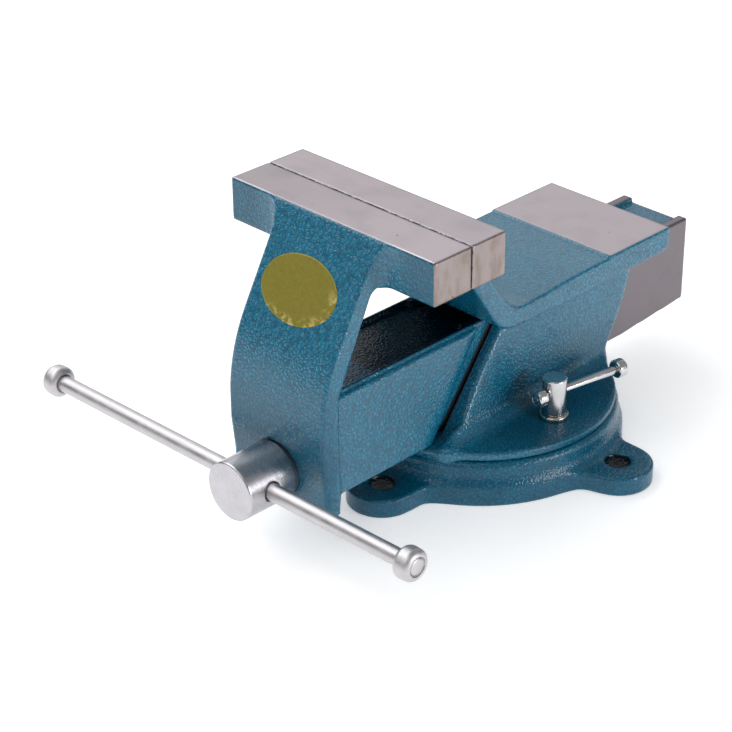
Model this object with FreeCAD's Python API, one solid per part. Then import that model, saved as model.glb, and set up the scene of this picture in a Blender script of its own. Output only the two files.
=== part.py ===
"""Bench vise with swivel base, 150 mm jaws.

Frame: millimetres, +Z up, origin on the swivel axis at the base's mounting face.
The jaws close along +Y, the handle is on the -Y side, and +X is to the right.
"""
import FreeCAD, Part
import math
import os

from FreeCAD import Vector

# Jaws
JAW_WIDTH = 150.0
JAW_TOP = 174.4
JAW_HEAD_HEIGHT = 24.8
JAW_LINE_Y = -88.5
JAW_CLOSED_GAP = 0.4
MOVING_HEAD_FRONT = -116.0
HEAD_JOIN_Y = -96.7
FIXED_HEAD_REAR = -63.0

# Front plate of the moving jaw: a straight upper flank, then an arc to the vertical
PLATE_WIDTH = 72.0
PLATE_KNEE_Y = -145.0
PLATE_KNEE_Z = 122.0
PLATE_BOW_RADIUS = 101.7
PLATE_FOOT_SETBACK = 2.2
PLATE_FOOT_Z = 23.0
PLATE_REAR_Y = -144.4
PLATE_REAR_KNEE_Z = 94.0
PLATE_NECK_Y = -118.4
PLATE_NECK_RADIUS = 8.0
PLATE_FOOT_RADIUS = 4.0

# Slide and the drafted front box that it grows out of
SLIDE_WIDTH = 48.4
SLIDE_TOP = 89.6
SLIDE_BOTTOM = 32.0
SLIDE_REAR_Y = 158.3
SLIDE_TAIL_RISE = 4.0
SLIDE_TAIL_START_Y = 96.0
RAIL_WIDTH = 6.4
RAIL_HEIGHT = 3.0
CHANNEL_WIDTH = 36.0
CHANNEL_TOP = 80.0
BOX_FOOT_WIDTH = 65.0
BOX_TOP_WIDTH = 54.0
BOX_TOP = 87.6
BOX_LIP_WIDTH = 2.6
CASTING_OVERLAP = 6.0
SHOULDER_FOOT_Y = -61.0
SHOULDER_TOP_Y = -19.0
SHOULDER_CORNER = 7.0
SHOULDER_GAP = 2.5
RECESS_SETBACK = 18.0

# Body casting
TABLE_WIDTH = 90.6
ANVIL_TOP = 105.8
ANVIL_FRONT_Y = 60.6
ANVIL_REAR_Y = 113.8
ANVIL_STEP = 1.0
TABLE_EDGE_Z = 91.4
PASSAGE_CLEARANCE = 0.25
PASSAGE_SPAN = (-100.0, 130.0)
LIP_TOP_Z = 42.0
RELIEF_TOP_Z = 90.4
WALL_STEPS = 7
WALL_CORNER = 5.0
WALL_FRONT_Y = (-68.0, -8.5)
WALL_REAR_Y = (73.0, 88.0)
WALL_FRONT_HALF = (39.5, 31.5)
WALL_REAR_HALF = (33.0, 42.0)

# Swivel
FLANGE_RADIUS = 79.4
FLANGE_TOP = 31.0
SWIVEL_GAP = 0.4
BASE_HEIGHT = 25.4
BASE_FOOT_RADIUS = 82.7
BASE_SHOULDER_RADIUS = 81.2
BASE_TOP_RADIUS = 79.6
SPIGOT_RADIUS = 30.0
SPIGOT_FOOT = 12.0
SPIGOT_CLEARANCE = 0.06

# Mounting lugs
LUG_COUNT = 4
LUG_FIRST_ANGLE = 9.0
LUG_CIRCLE_RADIUS = 94.3
LUG_RADIUS = 20.0
LUG_HEIGHT = 11.6
LUG_BLEND = 12.0
MOUNT_HOLE_DIAMETER = 14.0

# Circular T-slot in the base, and the two swivel locks in it
LOCK_RADIUS = 56.5
LOCK_Y = 1.6
SLOT_WIDTH = 11.2
SLOT_UNDERCUT_WIDTH = 20.0
SLOT_LIP_Z = 16.0
SLOT_FLOOR_Z = 6.0
LOCK_NUT_SIZE = (17.6, 17.0, 7.8)
LOCK_SHANK_RADIUS = 5.0
LOCK_HEAD_RADIUS = 6.9
LOCK_HEAD_TOP = 56.0
LOCK_FOOT_Z = 8.8
LOCK_WASHER_RADIUS = 8.5
LOCK_WASHER_THICKNESS = 2.8
LOCK_BAR_Z = 46.0
LOCK_BAR_ANGLE = 80.6
LOCK_BAR_RADIUS = 2.5
LOCK_CAP_RADIUS = 5.4
LOCK_CAP_LENGTH = 6.6
LOCK_CAP_NEAR = -10.6
LOCK_CAP_FAR = 47.3

# Lead screw, handle and nut
SCREW_Z = 42.6
SCREW_RADIUS = 10.0
SCREW_HEAD_RADIUS = 16.7
SCREW_HEAD_FRONT = -191.0
SCREW_HEAD_REAR = -158.6
SCREW_END = 155.0
THREAD_PITCH = 5.0
THREAD_DEPTH = 1.6
RUNNING_FIT = 0.06
THRUST_WASHER_RADIUS = 15.5
THRUST_SEAT_DEPTH = 2.6
THRUST_SEAT_MARGIN = 1.0
AXIAL_PLAY = 0.05
COLLAR_RADIUS = 15.5
COLLAR_LENGTH = 12.0
COLLAR_PIN_RADIUS = 2.0
HANDLE_Y = -175.5
HANDLE_TILT = 1.3
HANDLE_CENTRE_X = -23.5
HANDLE_LENGTH = 290.0
HANDLE_RADIUS = 4.75
HANDLE_CAP_RADIUS = 9.1
HANDLE_CAP_LENGTH = 12.5
NUT_HALF_WIDTH = 17.0
NUT_SEAT_Z = 20.0
NUT_BOLT_RADIUS = 4.0
NUT_TAP_DEPTH = 10.5
NUT_BOLT_END_GAP = 1.5
NUT_BOLT_HEAD = 13.0
NUT_BOLT_HEAD_HEIGHT = 5.3
NUT_WASHER_RADIUS = 8.0
NUT_WASHER_THICKNESS = 1.6

# Label on the front plate
LABEL_WIDTH = 54.2
LABEL_HEIGHT = 37.0
LABEL_X = -3.0
LABEL_Z = 139.4
LABEL_THICKNESS = 0.2

X_AXIS = Vector(1, 0, 0)
Y_AXIS = Vector(0, 1, 0)
Z_AXIS = Vector(0, 0, 1)
HEAD_FOOT = JAW_TOP - JAW_HEAD_HEIGHT
MOVING_HEAD_REAR = JAW_LINE_Y - JAW_CLOSED_GAP / 2
FIXED_HEAD_FRONT = JAW_LINE_Y + JAW_CLOSED_GAP / 2
FLANGE_FOOT = BASE_HEIGHT + SWIVEL_GAP


def block(x_range, y_range, z_range):
    size = [high - low for low, high in (x_range, y_range, z_range)]
    return Part.makeBox(*size, Vector(x_range[0], y_range[0], z_range[0]))


def tube(radius, start, direction, length, bore=0.0):
    solid = Part.makeCylinder(radius, length, start, direction)
    if bore:
        solid = solid.cut(Part.makeCylinder(bore, length, start, direction))
    return solid


def extrude_side(wire, half_width):
    """A closed outline in the YZ plane, made into a solid of equal width each side of x = 0."""
    outline = wire.copy()
    outline.translate(Vector(-half_width, 0, 0))
    return Part.Face(outline).extrude(Vector(2 * half_width, 0, 0))


def side_outline(items):
    """Closed YZ outline: (y, z) is a corner, and ((y, z), (y, z)) is an arc's middle and end."""
    edges = []
    first = Vector(0, *items[0])
    here = first
    for item in items[1:]:
        if isinstance(item[0], tuple):
            middle = Vector(0, *item[0])
            end = Vector(0, *item[1])
            edges.append(Part.Arc(here, middle, end).toShape())
        else:
            end = Vector(0, *item)
            edges.append(Part.LineSegment(here, end).toShape())
        here = end
    if here.distanceToPoint(first) > 1e-6:
        edges.append(Part.LineSegment(here, first).toShape())
    return Part.Wire(edges)


def arc_points(centre, radius, start_angle, end_angle):
    """Middle and end of an arc about centre, in degrees from +Y towards +Z."""
    points = []
    for angle in ((start_angle + end_angle) / 2, end_angle):
        turn = math.radians(angle)
        points.append((centre[0] + radius * math.cos(turn), centre[1] + radius * math.sin(turn)))
    return tuple(points)


def barrel(radius, length, bore, round_off):
    """A ring along +X from x = 0 with rounded outer corners and a countersunk outer bore."""
    ring = tube(radius, Vector(0, 0, 0), X_AXIS, length)
    rims = [edge for edge in ring.Edges if edge.Closed and edge.Length > 1]
    ring = ring.makeFillet(round_off, rims)
    ring = ring.cut(tube(bore, Vector(-1, 0, 0), X_AXIS, length + 2))
    sink = bore * 0.16
    cone = Part.makeCone(bore, bore + sink, sink, Vector(length - sink, 0, 0), X_AXIS)
    return ring.cut(cone)


# ---------------------------------------------------------------- moving jaw

def plate_flank_angle():
    return math.degrees(math.atan2(MOVING_HEAD_FRONT - PLATE_KNEE_Y, JAW_TOP - PLATE_KNEE_Z))


def plate_outline():
    """Side view of the front plate, up to the head that it carries."""
    flank = plate_flank_angle()
    turn = math.radians(flank)
    bow = PLATE_BOW_RADIUS
    centre = (PLATE_KNEE_Y + bow * math.cos(turn), PLATE_KNEE_Z - bow * math.sin(turn))
    front_y = centre[0] - bow
    foot = PLATE_FOOT_RADIUS
    foot_centre = (front_y + PLATE_FOOT_SETBACK + foot, PLATE_FOOT_Z + foot)
    slope = math.atan2(PLATE_NECK_Y - PLATE_REAR_Y, HEAD_FOOT - PLATE_REAR_KNEE_Z)
    neck = PLATE_NECK_RADIUS
    reach = neck / math.tan((math.pi / 2 + slope) / 2)
    neck_start = (PLATE_NECK_Y - reach * math.sin(slope), HEAD_FOOT - reach * math.cos(slope))
    neck_end = (PLATE_NECK_Y + reach, HEAD_FOOT)
    neck_centre = (neck_end[0], HEAD_FOOT - neck)
    middle_y = neck_centre[0] - neck * math.cos(math.radians(45) + slope / 2)
    middle_z = neck_centre[1] + neck * math.sin(math.radians(45) + slope / 2)
    return side_outline([
        (MOVING_HEAD_FRONT, JAW_TOP),
        (PLATE_KNEE_Y, PLATE_KNEE_Z),
        arc_points(centre, bow, 180 - flank, 180),
        (foot_centre[0] - foot, foot_centre[1]),
        arc_points(foot_centre, foot, 180, 270),
        (PLATE_REAR_Y, PLATE_FOOT_Z),
        (PLATE_REAR_Y, PLATE_REAR_KNEE_Z),
        neck_start,
        ((middle_y, middle_z), neck_end),
        (HEAD_JOIN_Y, HEAD_FOOT),
        (HEAD_JOIN_Y, JAW_TOP),
    ])


def front_box():
    """Drafted box behind the plate, ending in a slanted, rounded shoulder."""
    half_foot = BOX_FOOT_WIDTH / 2
    half_top = BOX_TOP_WIDTH / 2
    start = PLATE_REAR_Y - CASTING_OVERLAP
    section = Part.makePolygon([
        Vector(-half_foot, start, SLIDE_BOTTOM),
        Vector(half_foot, start, SLIDE_BOTTOM),
        Vector(half_top, start, BOX_TOP),
        Vector(-half_top, start, BOX_TOP),
        Vector(-half_foot, start, SLIDE_BOTTOM),
    ])
    prism = Part.Face(section).extrude(Vector(0, SHOULDER_TOP_Y - start, 0))
    lean = math.atan2(SHOULDER_TOP_Y - SHOULDER_FOOT_Y, BOX_TOP - SLIDE_BOTTOM)
    corner = SHOULDER_CORNER
    reach = corner / math.tan((math.pi / 2 - lean) / 2)
    centre = (SHOULDER_TOP_Y - reach, BOX_TOP - corner)
    keep = side_outline([
        (start, SLIDE_BOTTOM),
        (start, BOX_TOP),
        (centre[0], BOX_TOP),
        arc_points(centre, corner, 90.0, -math.degrees(lean)),
        (SHOULDER_FOOT_Y, SLIDE_BOTTOM),
    ])
    return prism.common(extrude_side(keep, half_foot + 1))


def slide():
    """Machined slide: two side walls joined by a web just under the rail tops."""
    tail = side_outline([
        (PLATE_REAR_Y - CASTING_OVERLAP, SLIDE_BOTTOM),
        (SLIDE_TAIL_START_Y, SLIDE_BOTTOM),
        (SLIDE_REAR_Y, SLIDE_BOTTOM + SLIDE_TAIL_RISE),
        (SLIDE_REAR_Y, SLIDE_TOP),
        (PLATE_REAR_Y - CASTING_OVERLAP, SLIDE_TOP),
    ])
    bar = extrude_side(tail, SLIDE_WIDTH / 2)
    inner = SLIDE_WIDTH / 2 - RAIL_WIDTH
    recess_z = (SLIDE_TOP - RAIL_HEIGHT, SLIDE_TOP + 1)
    return bar.cut(block((-inner, inner), (PLATE_REAR_Y, SLIDE_REAR_Y + 1), recess_z))


def moving_jaw():
    half = JAW_WIDTH / 2
    head = block((-half, half), (MOVING_HEAD_FRONT, MOVING_HEAD_REAR), (HEAD_FOOT, JAW_TOP))
    plate = extrude_side(plate_outline(), PLATE_WIDTH / 2)
    casting = head.fuse([plate, front_box(), slide()]).removeSplitter()
    half_channel = CHANNEL_WIDTH / 2
    channel = block(
        (-half_channel, half_channel),
        (PLATE_REAR_Y, SLIDE_REAR_Y + 1),
        (SLIDE_BOTTOM - 5, CHANNEL_TOP),
    )
    inner = SLIDE_WIDTH / 2 - BOX_LIP_WIDTH
    recess = block(
        (-inner, inner),
        (PLATE_REAR_Y, SHOULDER_TOP_Y - RECESS_SETBACK),
        (SLIDE_TOP - RAIL_HEIGHT, SLIDE_TOP + 1),
    )
    bore = tube(SCREW_RADIUS + RUNNING_FIT, Vector(0, -170, SCREW_Z), Y_AXIS, 40)
    facing = tube(
        THRUST_WASHER_RADIUS + THRUST_SEAT_MARGIN,
        Vector(0, SCREW_HEAD_REAR - THRUST_SEAT_DEPTH, SCREW_Z),
        Y_AXIS,
        2 * THRUST_SEAT_DEPTH,
    )
    return casting.cut([channel, recess, bore, facing]).removeSplitter()


# ---------------------------------------------------------------- body casting

def table_outline():
    """Side view of the anvil table and the neck that curves up to the fixed jaw."""
    step = ANVIL_TOP - ANVIL_STEP
    return side_outline([
        (ANVIL_REAR_Y, ANVIL_TOP),
        (ANVIL_FRONT_Y, ANVIL_TOP),
        (ANVIL_FRONT_Y - 0.8, step),
        (30.0, step - 0.4),
        (-8.0, step - 2.9),
        ((-22.0, 104.6), (-31.0, 114.3)),
        (FIXED_HEAD_REAR, 161.0),
        (FIXED_HEAD_REAR - 6.0, 161.0),
        (-69.0, HEAD_FOOT),
        (-42.6, 110.0),
        ((-33.8, 97.0), (-18.0, TABLE_EDGE_Z - 0.6)),
        (ANVIL_REAR_Y - 5.0, TABLE_EDGE_Z),
        ((ANVIL_REAR_Y - 1.4, TABLE_EDGE_Z + 1.5), (ANVIL_REAR_Y, TABLE_EDGE_Z + 5.0)),
    ])


def blend(low, high, share):
    return low + (high - low) * share


def wall_section(z, front_y, rear_y, front_half, rear_half, corner):
    """Horizontal outline of the body's side walls at one height, with rounded corners."""
    points = [
        Vector(-front_half, front_y, z),
        Vector(front_half, front_y, z),
        Vector(rear_half, rear_y, z),
        Vector(-rear_half, rear_y, z),
    ]
    edges = []
    starts = []
    ends = []
    for index, point in enumerate(points):
        before = (points[index - 1] - point).normalize()
        after = (points[(index + 1) % 4] - point).normalize()
        half_angle = before.getAngle(after) / 2
        reach = corner / math.tan(half_angle)
        bisector = (before + after).normalize()
        centre = point + bisector * (corner / math.sin(half_angle))
        start = point + before * reach
        end = point + after * reach
        starts.append(start)
        ends.append(end)
        edges.append(Part.Arc(start, centre - bisector * corner, end).toShape())
    outline = []
    for index in range(4):
        outline.append(edges[index])
        outline.append(Part.LineSegment(ends[index], starts[(index + 1) % 4]).toShape())
    return Part.Wire(outline)


def flared_walls():
    """The walls lean forward at the front and flare out to the flange."""
    foot_z = FLANGE_TOP - 1.0
    top_z = TABLE_EDGE_Z + 4.0
    sections = []
    for index in range(WALL_STEPS + 1):
        rise = index / WALL_STEPS
        sections.append(wall_section(
            blend(foot_z, top_z, rise),
            blend(*WALL_FRONT_Y, rise),
            blend(*WALL_REAR_Y, 1 - (1 - rise) ** 2),
            blend(*WALL_FRONT_HALF, 1 - (1 - rise) ** 3),
            blend(*WALL_REAR_HALF, rise),
            WALL_CORNER,
        ))
    return Part.makeLoft(sections, True, True)


def shoulder_relief(foot_z, half_width):
    """The room that the box's slanted shoulder needs, from foot_z up."""
    slope = (SHOULDER_TOP_Y - SHOULDER_FOOT_Y) / (BOX_TOP - SLIDE_BOTTOM)
    corners = []
    for z in (foot_z, RELIEF_TOP_Z):
        corners.append((SHOULDER_FOOT_Y + SHOULDER_GAP + (z - SLIDE_BOTTOM) * slope, z))
    front = PASSAGE_SPAN[0]
    return extrude_side(
        side_outline([(front, foot_z), corners[0], corners[1], (front, RELIEF_TOP_Z)]),
        half_width,
    )


def vise_body():
    half = JAW_WIDTH / 2
    head = block((-half, half), (FIXED_HEAD_FRONT, FIXED_HEAD_REAR), (HEAD_FOOT, JAW_TOP))
    table = extrude_side(table_outline(), TABLE_WIDTH / 2)
    flange = tube(FLANGE_RADIUS, Vector(0, 0, FLANGE_FOOT), Z_AXIS, FLANGE_TOP - FLANGE_FOOT)
    top_rim = [edge for edge in flange.Edges if edge.Closed and edge.BoundBox.ZMin > FLANGE_TOP - 0.1]
    flange = flange.makeFillet(1.2, top_rim)
    spigot = tube(SPIGOT_RADIUS, Vector(0, 0, SPIGOT_FOOT), Z_AXIS, FLANGE_TOP - SPIGOT_FOOT)
    casting = table.fuse([head, flared_walls(), flange, spigot]).removeSplitter()
    gap = PASSAGE_CLEARANCE
    passage = block(
        (-SLIDE_WIDTH / 2 - gap, SLIDE_WIDTH / 2 + gap),
        PASSAGE_SPAN,
        (SLIDE_BOTTOM - gap, SLIDE_TOP + gap),
    )
    seat = NUT_HALF_WIDTH + 0.05
    pocket = block((-seat, seat), (-seat, seat), (NUT_SEAT_Z, SLIDE_BOTTOM))
    bolt_hole = tube(NUT_BOLT_RADIUS + 0.3, Vector(0, 0, SPIGOT_FOOT - 1), Z_AXIS, NUT_SEAT_Z)
    cuts = [passage, pocket, bolt_hole]
    cuts.append(shoulder_relief(SLIDE_BOTTOM - gap, BOX_FOOT_WIDTH / 2 + SHOULDER_GAP))
    cuts.append(shoulder_relief(LIP_TOP_Z, TABLE_WIDTH))
    for side in (-1, 1):
        start = Vector(side * LOCK_RADIUS, LOCK_Y, FLANGE_FOOT - 1)
        cuts.append(tube(LOCK_SHANK_RADIUS + RUNNING_FIT, start, Z_AXIS, FLANGE_TOP))
    return casting.cut(cuts).removeSplitter()


# ---------------------------------------------------------------- swivel base

def lug(angle):
    """One lug with concave blends where it leaves the drum."""
    reach = LUG_CIRCLE_RADIUS
    blend = LUG_BLEND
    drum = BASE_FOOT_RADIUS
    # The blend circle touches the drum and the lug's end circle from outside.
    from_centre = drum + blend
    from_lug = LUG_RADIUS + blend
    along = (from_centre ** 2 - from_lug ** 2 + reach ** 2) / (2 * reach)
    across = math.sqrt(from_centre ** 2 - along ** 2)
    outline = Part.makePolygon([
        Vector(0, 0, 0),
        Vector(along * drum / from_centre, -across * drum / from_centre, 0),
        Vector(along, -across, 0),
        Vector(reach, 0, 0),
        Vector(along, across, 0),
        Vector(along * drum / from_centre, across * drum / from_centre, 0),
        Vector(0, 0, 0),
    ])
    web = Part.Face(outline).extrude(Vector(0, 0, LUG_HEIGHT))
    for side in (-1, 1):
        web = web.cut(tube(blend, Vector(along, side * across, -1), Z_AXIS, LUG_HEIGHT + 2))
    solid = web.fuse(tube(LUG_RADIUS, Vector(reach, 0, 0), Z_AXIS, LUG_HEIGHT))
    solid.rotate(Vector(0, 0, 0), Z_AXIS, angle)
    return solid


def ring_cut(inner, outer, low, high):
    return tube(outer, Vector(0, 0, low), Z_AXIS, high - low, inner)


def swivel_base():
    profile = Part.makePolygon([
        Vector(0, 0, 0),
        Vector(BASE_FOOT_RADIUS, 0, 0),
        Vector(BASE_SHOULDER_RADIUS, 0, BASE_HEIGHT - 2.5),
        Vector(BASE_TOP_RADIUS, 0, BASE_HEIGHT),
        Vector(0, 0, BASE_HEIGHT),
        Vector(0, 0, 0),
    ])
    drum = Part.Face(profile).revolve(Vector(0, 0, 0), Z_AXIS, 360)
    angles = [LUG_FIRST_ANGLE + 360.0 / LUG_COUNT * index for index in range(LUG_COUNT)]
    casting = drum.fuse([lug(angle) for angle in angles]).removeSplitter()
    cuts = [tube(SPIGOT_RADIUS + SPIGOT_CLEARANCE, Vector(0, 0, -1), Z_AXIS, BASE_HEIGHT + 2)]
    half_slot = SLOT_WIDTH / 2
    half_undercut = SLOT_UNDERCUT_WIDTH / 2
    ring = math.hypot(LOCK_RADIUS, LOCK_Y)
    cuts.append(ring_cut(ring - half_slot, ring + half_slot, SLOT_LIP_Z - 1, BASE_HEIGHT + 1))
    cuts.append(ring_cut(ring - half_undercut, ring + half_undercut, SLOT_FLOOR_Z, SLOT_LIP_Z))
    entry = Vector(ring * math.cos(math.radians(60)), ring * math.sin(math.radians(60)), SLOT_FLOOR_Z)
    cuts.append(tube(half_undercut + 1.5, entry, Z_AXIS, BASE_HEIGHT))
    for angle in angles:
        turn = math.radians(angle)
        centre = Vector(LUG_CIRCLE_RADIUS * math.cos(turn), LUG_CIRCLE_RADIUS * math.sin(turn), -1)
        cuts.append(tube(MOUNT_HOLE_DIAMETER / 2, centre, Z_AXIS, LUG_HEIGHT + 2))
    return casting.cut(cuts).removeSplitter()


# ---------------------------------------------------------------- swivel locks

def lock_parts(side):
    """The lock on one side; side is +1 for right and -1 for left."""
    centre = Vector(side * LOCK_RADIUS, LOCK_Y, 0)
    head_foot = FLANGE_TOP + LOCK_WASHER_THICKNESS
    head = tube(LOCK_HEAD_RADIUS, Vector(0, 0, head_foot), Z_AXIS, LOCK_HEAD_TOP - head_foot)
    top = [edge for edge in head.Edges if edge.Closed and edge.BoundBox.ZMin > LOCK_HEAD_TOP - 0.1]
    head = head.makeFillet(0.8, top)
    shank = tube(LOCK_SHANK_RADIUS, Vector(0, 0, LOCK_FOOT_Z), Z_AXIS, head_foot - LOCK_FOOT_Z)
    bolt = head.fuse(shank).removeSplitter()
    bar_hole = tube(LOCK_BAR_RADIUS + RUNNING_FIT, Vector(-20, 0, LOCK_BAR_Z), X_AXIS, 40)
    bolt = bolt.cut(bar_hole)
    washer = tube(
        LOCK_WASHER_RADIUS,
        Vector(0, 0, FLANGE_TOP),
        Z_AXIS,
        LOCK_WASHER_THICKNESS,
        LOCK_SHANK_RADIUS + RUNNING_FIT,
    )
    width, length, height = LOCK_NUT_SIZE
    nut_top = SLOT_LIP_Z - 0.2
    nut = block((-width / 2, width / 2), (-length / 2, length / 2), (nut_top - height, nut_top))
    nut = nut.cut(tube(LOCK_SHANK_RADIUS + RUNNING_FIT, Vector(0, 0, 0), Z_AXIS, BASE_HEIGHT))
    bar_start = LOCK_CAP_NEAR - LOCK_CAP_LENGTH / 2
    bar_end = LOCK_CAP_FAR + LOCK_CAP_LENGTH / 2
    bar = tube(LOCK_BAR_RADIUS, Vector(bar_start, 0, LOCK_BAR_Z), X_AXIS, bar_end - bar_start)
    far_cap = barrel(LOCK_CAP_RADIUS, LOCK_CAP_LENGTH, LOCK_BAR_RADIUS, 2.4)
    near_cap = far_cap.copy()
    far_cap.translate(Vector(bar_end - LOCK_CAP_LENGTH, 0, LOCK_BAR_Z))
    near_cap.rotate(Vector(0, 0, 0), Z_AXIS, 180)
    near_cap.translate(Vector(bar_start + LOCK_CAP_LENGTH, 0, LOCK_BAR_Z))
    name = "right" if side > 0 else "left"
    angle = LOCK_BAR_ANGLE if side > 0 else 180.0 - LOCK_BAR_ANGLE
    parts = {
        "lock_bolt_" + name: bolt,
        "lock_washer_" + name: washer,
        "lock_nut_" + name: nut,
        "lock_bar_" + name: bar,
        "lock_cap_" + name + "_near": near_cap,
        "lock_cap_" + name + "_far": far_cap,
    }
    for node, shape in parts.items():
        if "nut" not in node:
            shape.rotate(Vector(0, 0, 0), Z_AXIS, angle)
        shape.translate(centre)
    return parts


# ---------------------------------------------------------------- screw and handle

def lead_screw():
    """Head, plain journal through the plate and collar, then a ridged shaft for the thread."""
    head = tube(
        SCREW_HEAD_RADIUS,
        Vector(0, SCREW_HEAD_FRONT, SCREW_Z),
        Y_AXIS,
        SCREW_HEAD_REAR - SCREW_HEAD_FRONT,
    )
    rims = [edge for edge in head.Edges if edge.Closed and edge.Length > 1]
    head = head.makeFillet(0.9, rims)
    journal_end = PLATE_REAR_Y + COLLAR_LENGTH + 2.0
    profile = [
        Vector(0, SCREW_HEAD_REAR - 1, 0),
        Vector(0, SCREW_HEAD_REAR - 1, SCREW_RADIUS),
        Vector(0, journal_end, SCREW_RADIUS),
    ]
    root = SCREW_RADIUS - THREAD_DEPTH
    y = journal_end
    while y + THREAD_PITCH < SCREW_END - 2:
        profile.append(Vector(0, y + 0.10 * THREAD_PITCH, root))
        profile.append(Vector(0, y + 0.50 * THREAD_PITCH, root))
        profile.append(Vector(0, y + 0.60 * THREAD_PITCH, SCREW_RADIUS))
        profile.append(Vector(0, y + 1.00 * THREAD_PITCH, SCREW_RADIUS))
        y += THREAD_PITCH
    profile.append(Vector(0, SCREW_END - 2, SCREW_RADIUS))
    profile.append(Vector(0, SCREW_END, root))
    profile.append(Vector(0, SCREW_END, 0))
    profile.append(profile[0])
    shaft = Part.Face(Part.makePolygon(profile)).revolve(Vector(0, 0, 0), Y_AXIS, 360)
    shaft.translate(Vector(0, 0, SCREW_Z))
    screw = head.fuse(shaft).removeSplitter()
    cross = tube(HANDLE_RADIUS + 0.07, Vector(-40, HANDLE_Y, SCREW_Z), X_AXIS, 80)
    pin = tube(COLLAR_PIN_RADIUS, Vector(0, collar_start() + COLLAR_LENGTH / 2, 0), Z_AXIS, 100)
    return tilt(screw.cut([cross, pin]))


def tilt(shape):
    """Turns a shape about the screw axis by the handle's resting tilt."""
    shape.rotate(Vector(0, 0, SCREW_Z), Y_AXIS, -HANDLE_TILT)
    return shape


def collar_start():
    return PLATE_REAR_Y + 0.3


def handle_parts():
    start = HANDLE_CENTRE_X - HANDLE_LENGTH / 2
    bar = tube(HANDLE_RADIUS, Vector(start, HANDLE_Y, SCREW_Z), X_AXIS, HANDLE_LENGTH)
    right = barrel(HANDLE_CAP_RADIUS, HANDLE_CAP_LENGTH, HANDLE_RADIUS, 4.2)
    left = right.copy()
    right.translate(Vector(start + HANDLE_LENGTH - HANDLE_CAP_LENGTH, HANDLE_Y, SCREW_Z))
    left.rotate(Vector(0, 0, 0), Z_AXIS, 180)
    left.translate(Vector(start + HANDLE_CAP_LENGTH, HANDLE_Y, SCREW_Z))
    return {
        "handle_bar": tilt(bar),
        "handle_cap_right": tilt(right),
        "handle_cap_left": tilt(left),
    }


def thrust_parts():
    washer_start = SCREW_HEAD_REAR + AXIAL_PLAY
    washer_end = SCREW_HEAD_REAR + THRUST_SEAT_DEPTH - AXIAL_PLAY
    washer = tube(
        THRUST_WASHER_RADIUS,
        Vector(0, washer_start, SCREW_Z),
        Y_AXIS,
        washer_end - washer_start,
        SCREW_RADIUS + RUNNING_FIT,
    )
    collar = tube(COLLAR_RADIUS, Vector(0, collar_start(), SCREW_Z), Y_AXIS, COLLAR_LENGTH, SCREW_RADIUS)
    pin = tube(
        COLLAR_PIN_RADIUS,
        Vector(0, collar_start() + COLLAR_LENGTH / 2, SCREW_Z - COLLAR_RADIUS + 0.5),
        Z_AXIS,
        2 * COLLAR_RADIUS - 1.0,
    )
    collar = collar.cut(pin)
    return {"thrust_washer": washer, "retaining_collar": tilt(collar), "collar_pin": tilt(pin)}


def nut_parts():
    half = NUT_HALF_WIDTH
    lower = block((-half, half), (-half, half), (NUT_SEAT_Z, SCREW_Z))
    barrel_top = tube(half, Vector(0, -half, SCREW_Z), Y_AXIS, 2 * half)
    nut = lower.fuse(barrel_top).removeSplitter()
    bore = tube(SCREW_RADIUS + RUNNING_FIT, Vector(0, -half - 1, SCREW_Z), Y_AXIS, 2 * half + 2)
    tapped = tube(NUT_BOLT_RADIUS, Vector(0, 0, NUT_SEAT_Z - 1), Z_AXIS, NUT_TAP_DEPTH + 1)
    nut = nut.cut([bore, tapped])
    washer = tube(
        NUT_WASHER_RADIUS,
        Vector(0, 0, SPIGOT_FOOT - NUT_WASHER_THICKNESS),
        Z_AXIS,
        NUT_WASHER_THICKNESS,
        NUT_BOLT_RADIUS + 0.2,
    )
    seat = SPIGOT_FOOT - NUT_WASHER_THICKNESS
    corner = NUT_BOLT_HEAD / math.sqrt(3)
    corners = []
    for index in range(7):
        turn = math.radians(60 * index)
        corners.append(Vector(corner * math.cos(turn), corner * math.sin(turn), seat))
    head = Part.Face(Part.makePolygon(corners)).extrude(Vector(0, 0, -NUT_BOLT_HEAD_HEIGHT))
    shank_top = NUT_SEAT_Z + NUT_TAP_DEPTH - NUT_BOLT_END_GAP
    shank = tube(NUT_BOLT_RADIUS, Vector(0, 0, seat), Z_AXIS, shank_top - seat)
    bolt = head.fuse(shank).removeSplitter()
    return {"screw_nut": nut, "nut_washer": washer, "nut_bolt": bolt}


def label():
    """Oval foil label lying on the plate's straight flank."""
    flank = plate_flank_angle()
    oval = Part.Ellipse(Vector(0, 0, 0), LABEL_WIDTH / 2, LABEL_HEIGHT / 2).toShape()
    foil = Part.Face(Part.Wire([oval])).extrude(Vector(0, 0, LABEL_THICKNESS))
    foil.rotate(Vector(0, 0, 0), X_AXIS, 90 - flank)
    drop = (JAW_TOP - LABEL_Z) * math.tan(math.radians(flank))
    foil.translate(Vector(LABEL_X, MOVING_HEAD_FRONT - drop, LABEL_Z))
    return foil


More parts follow.
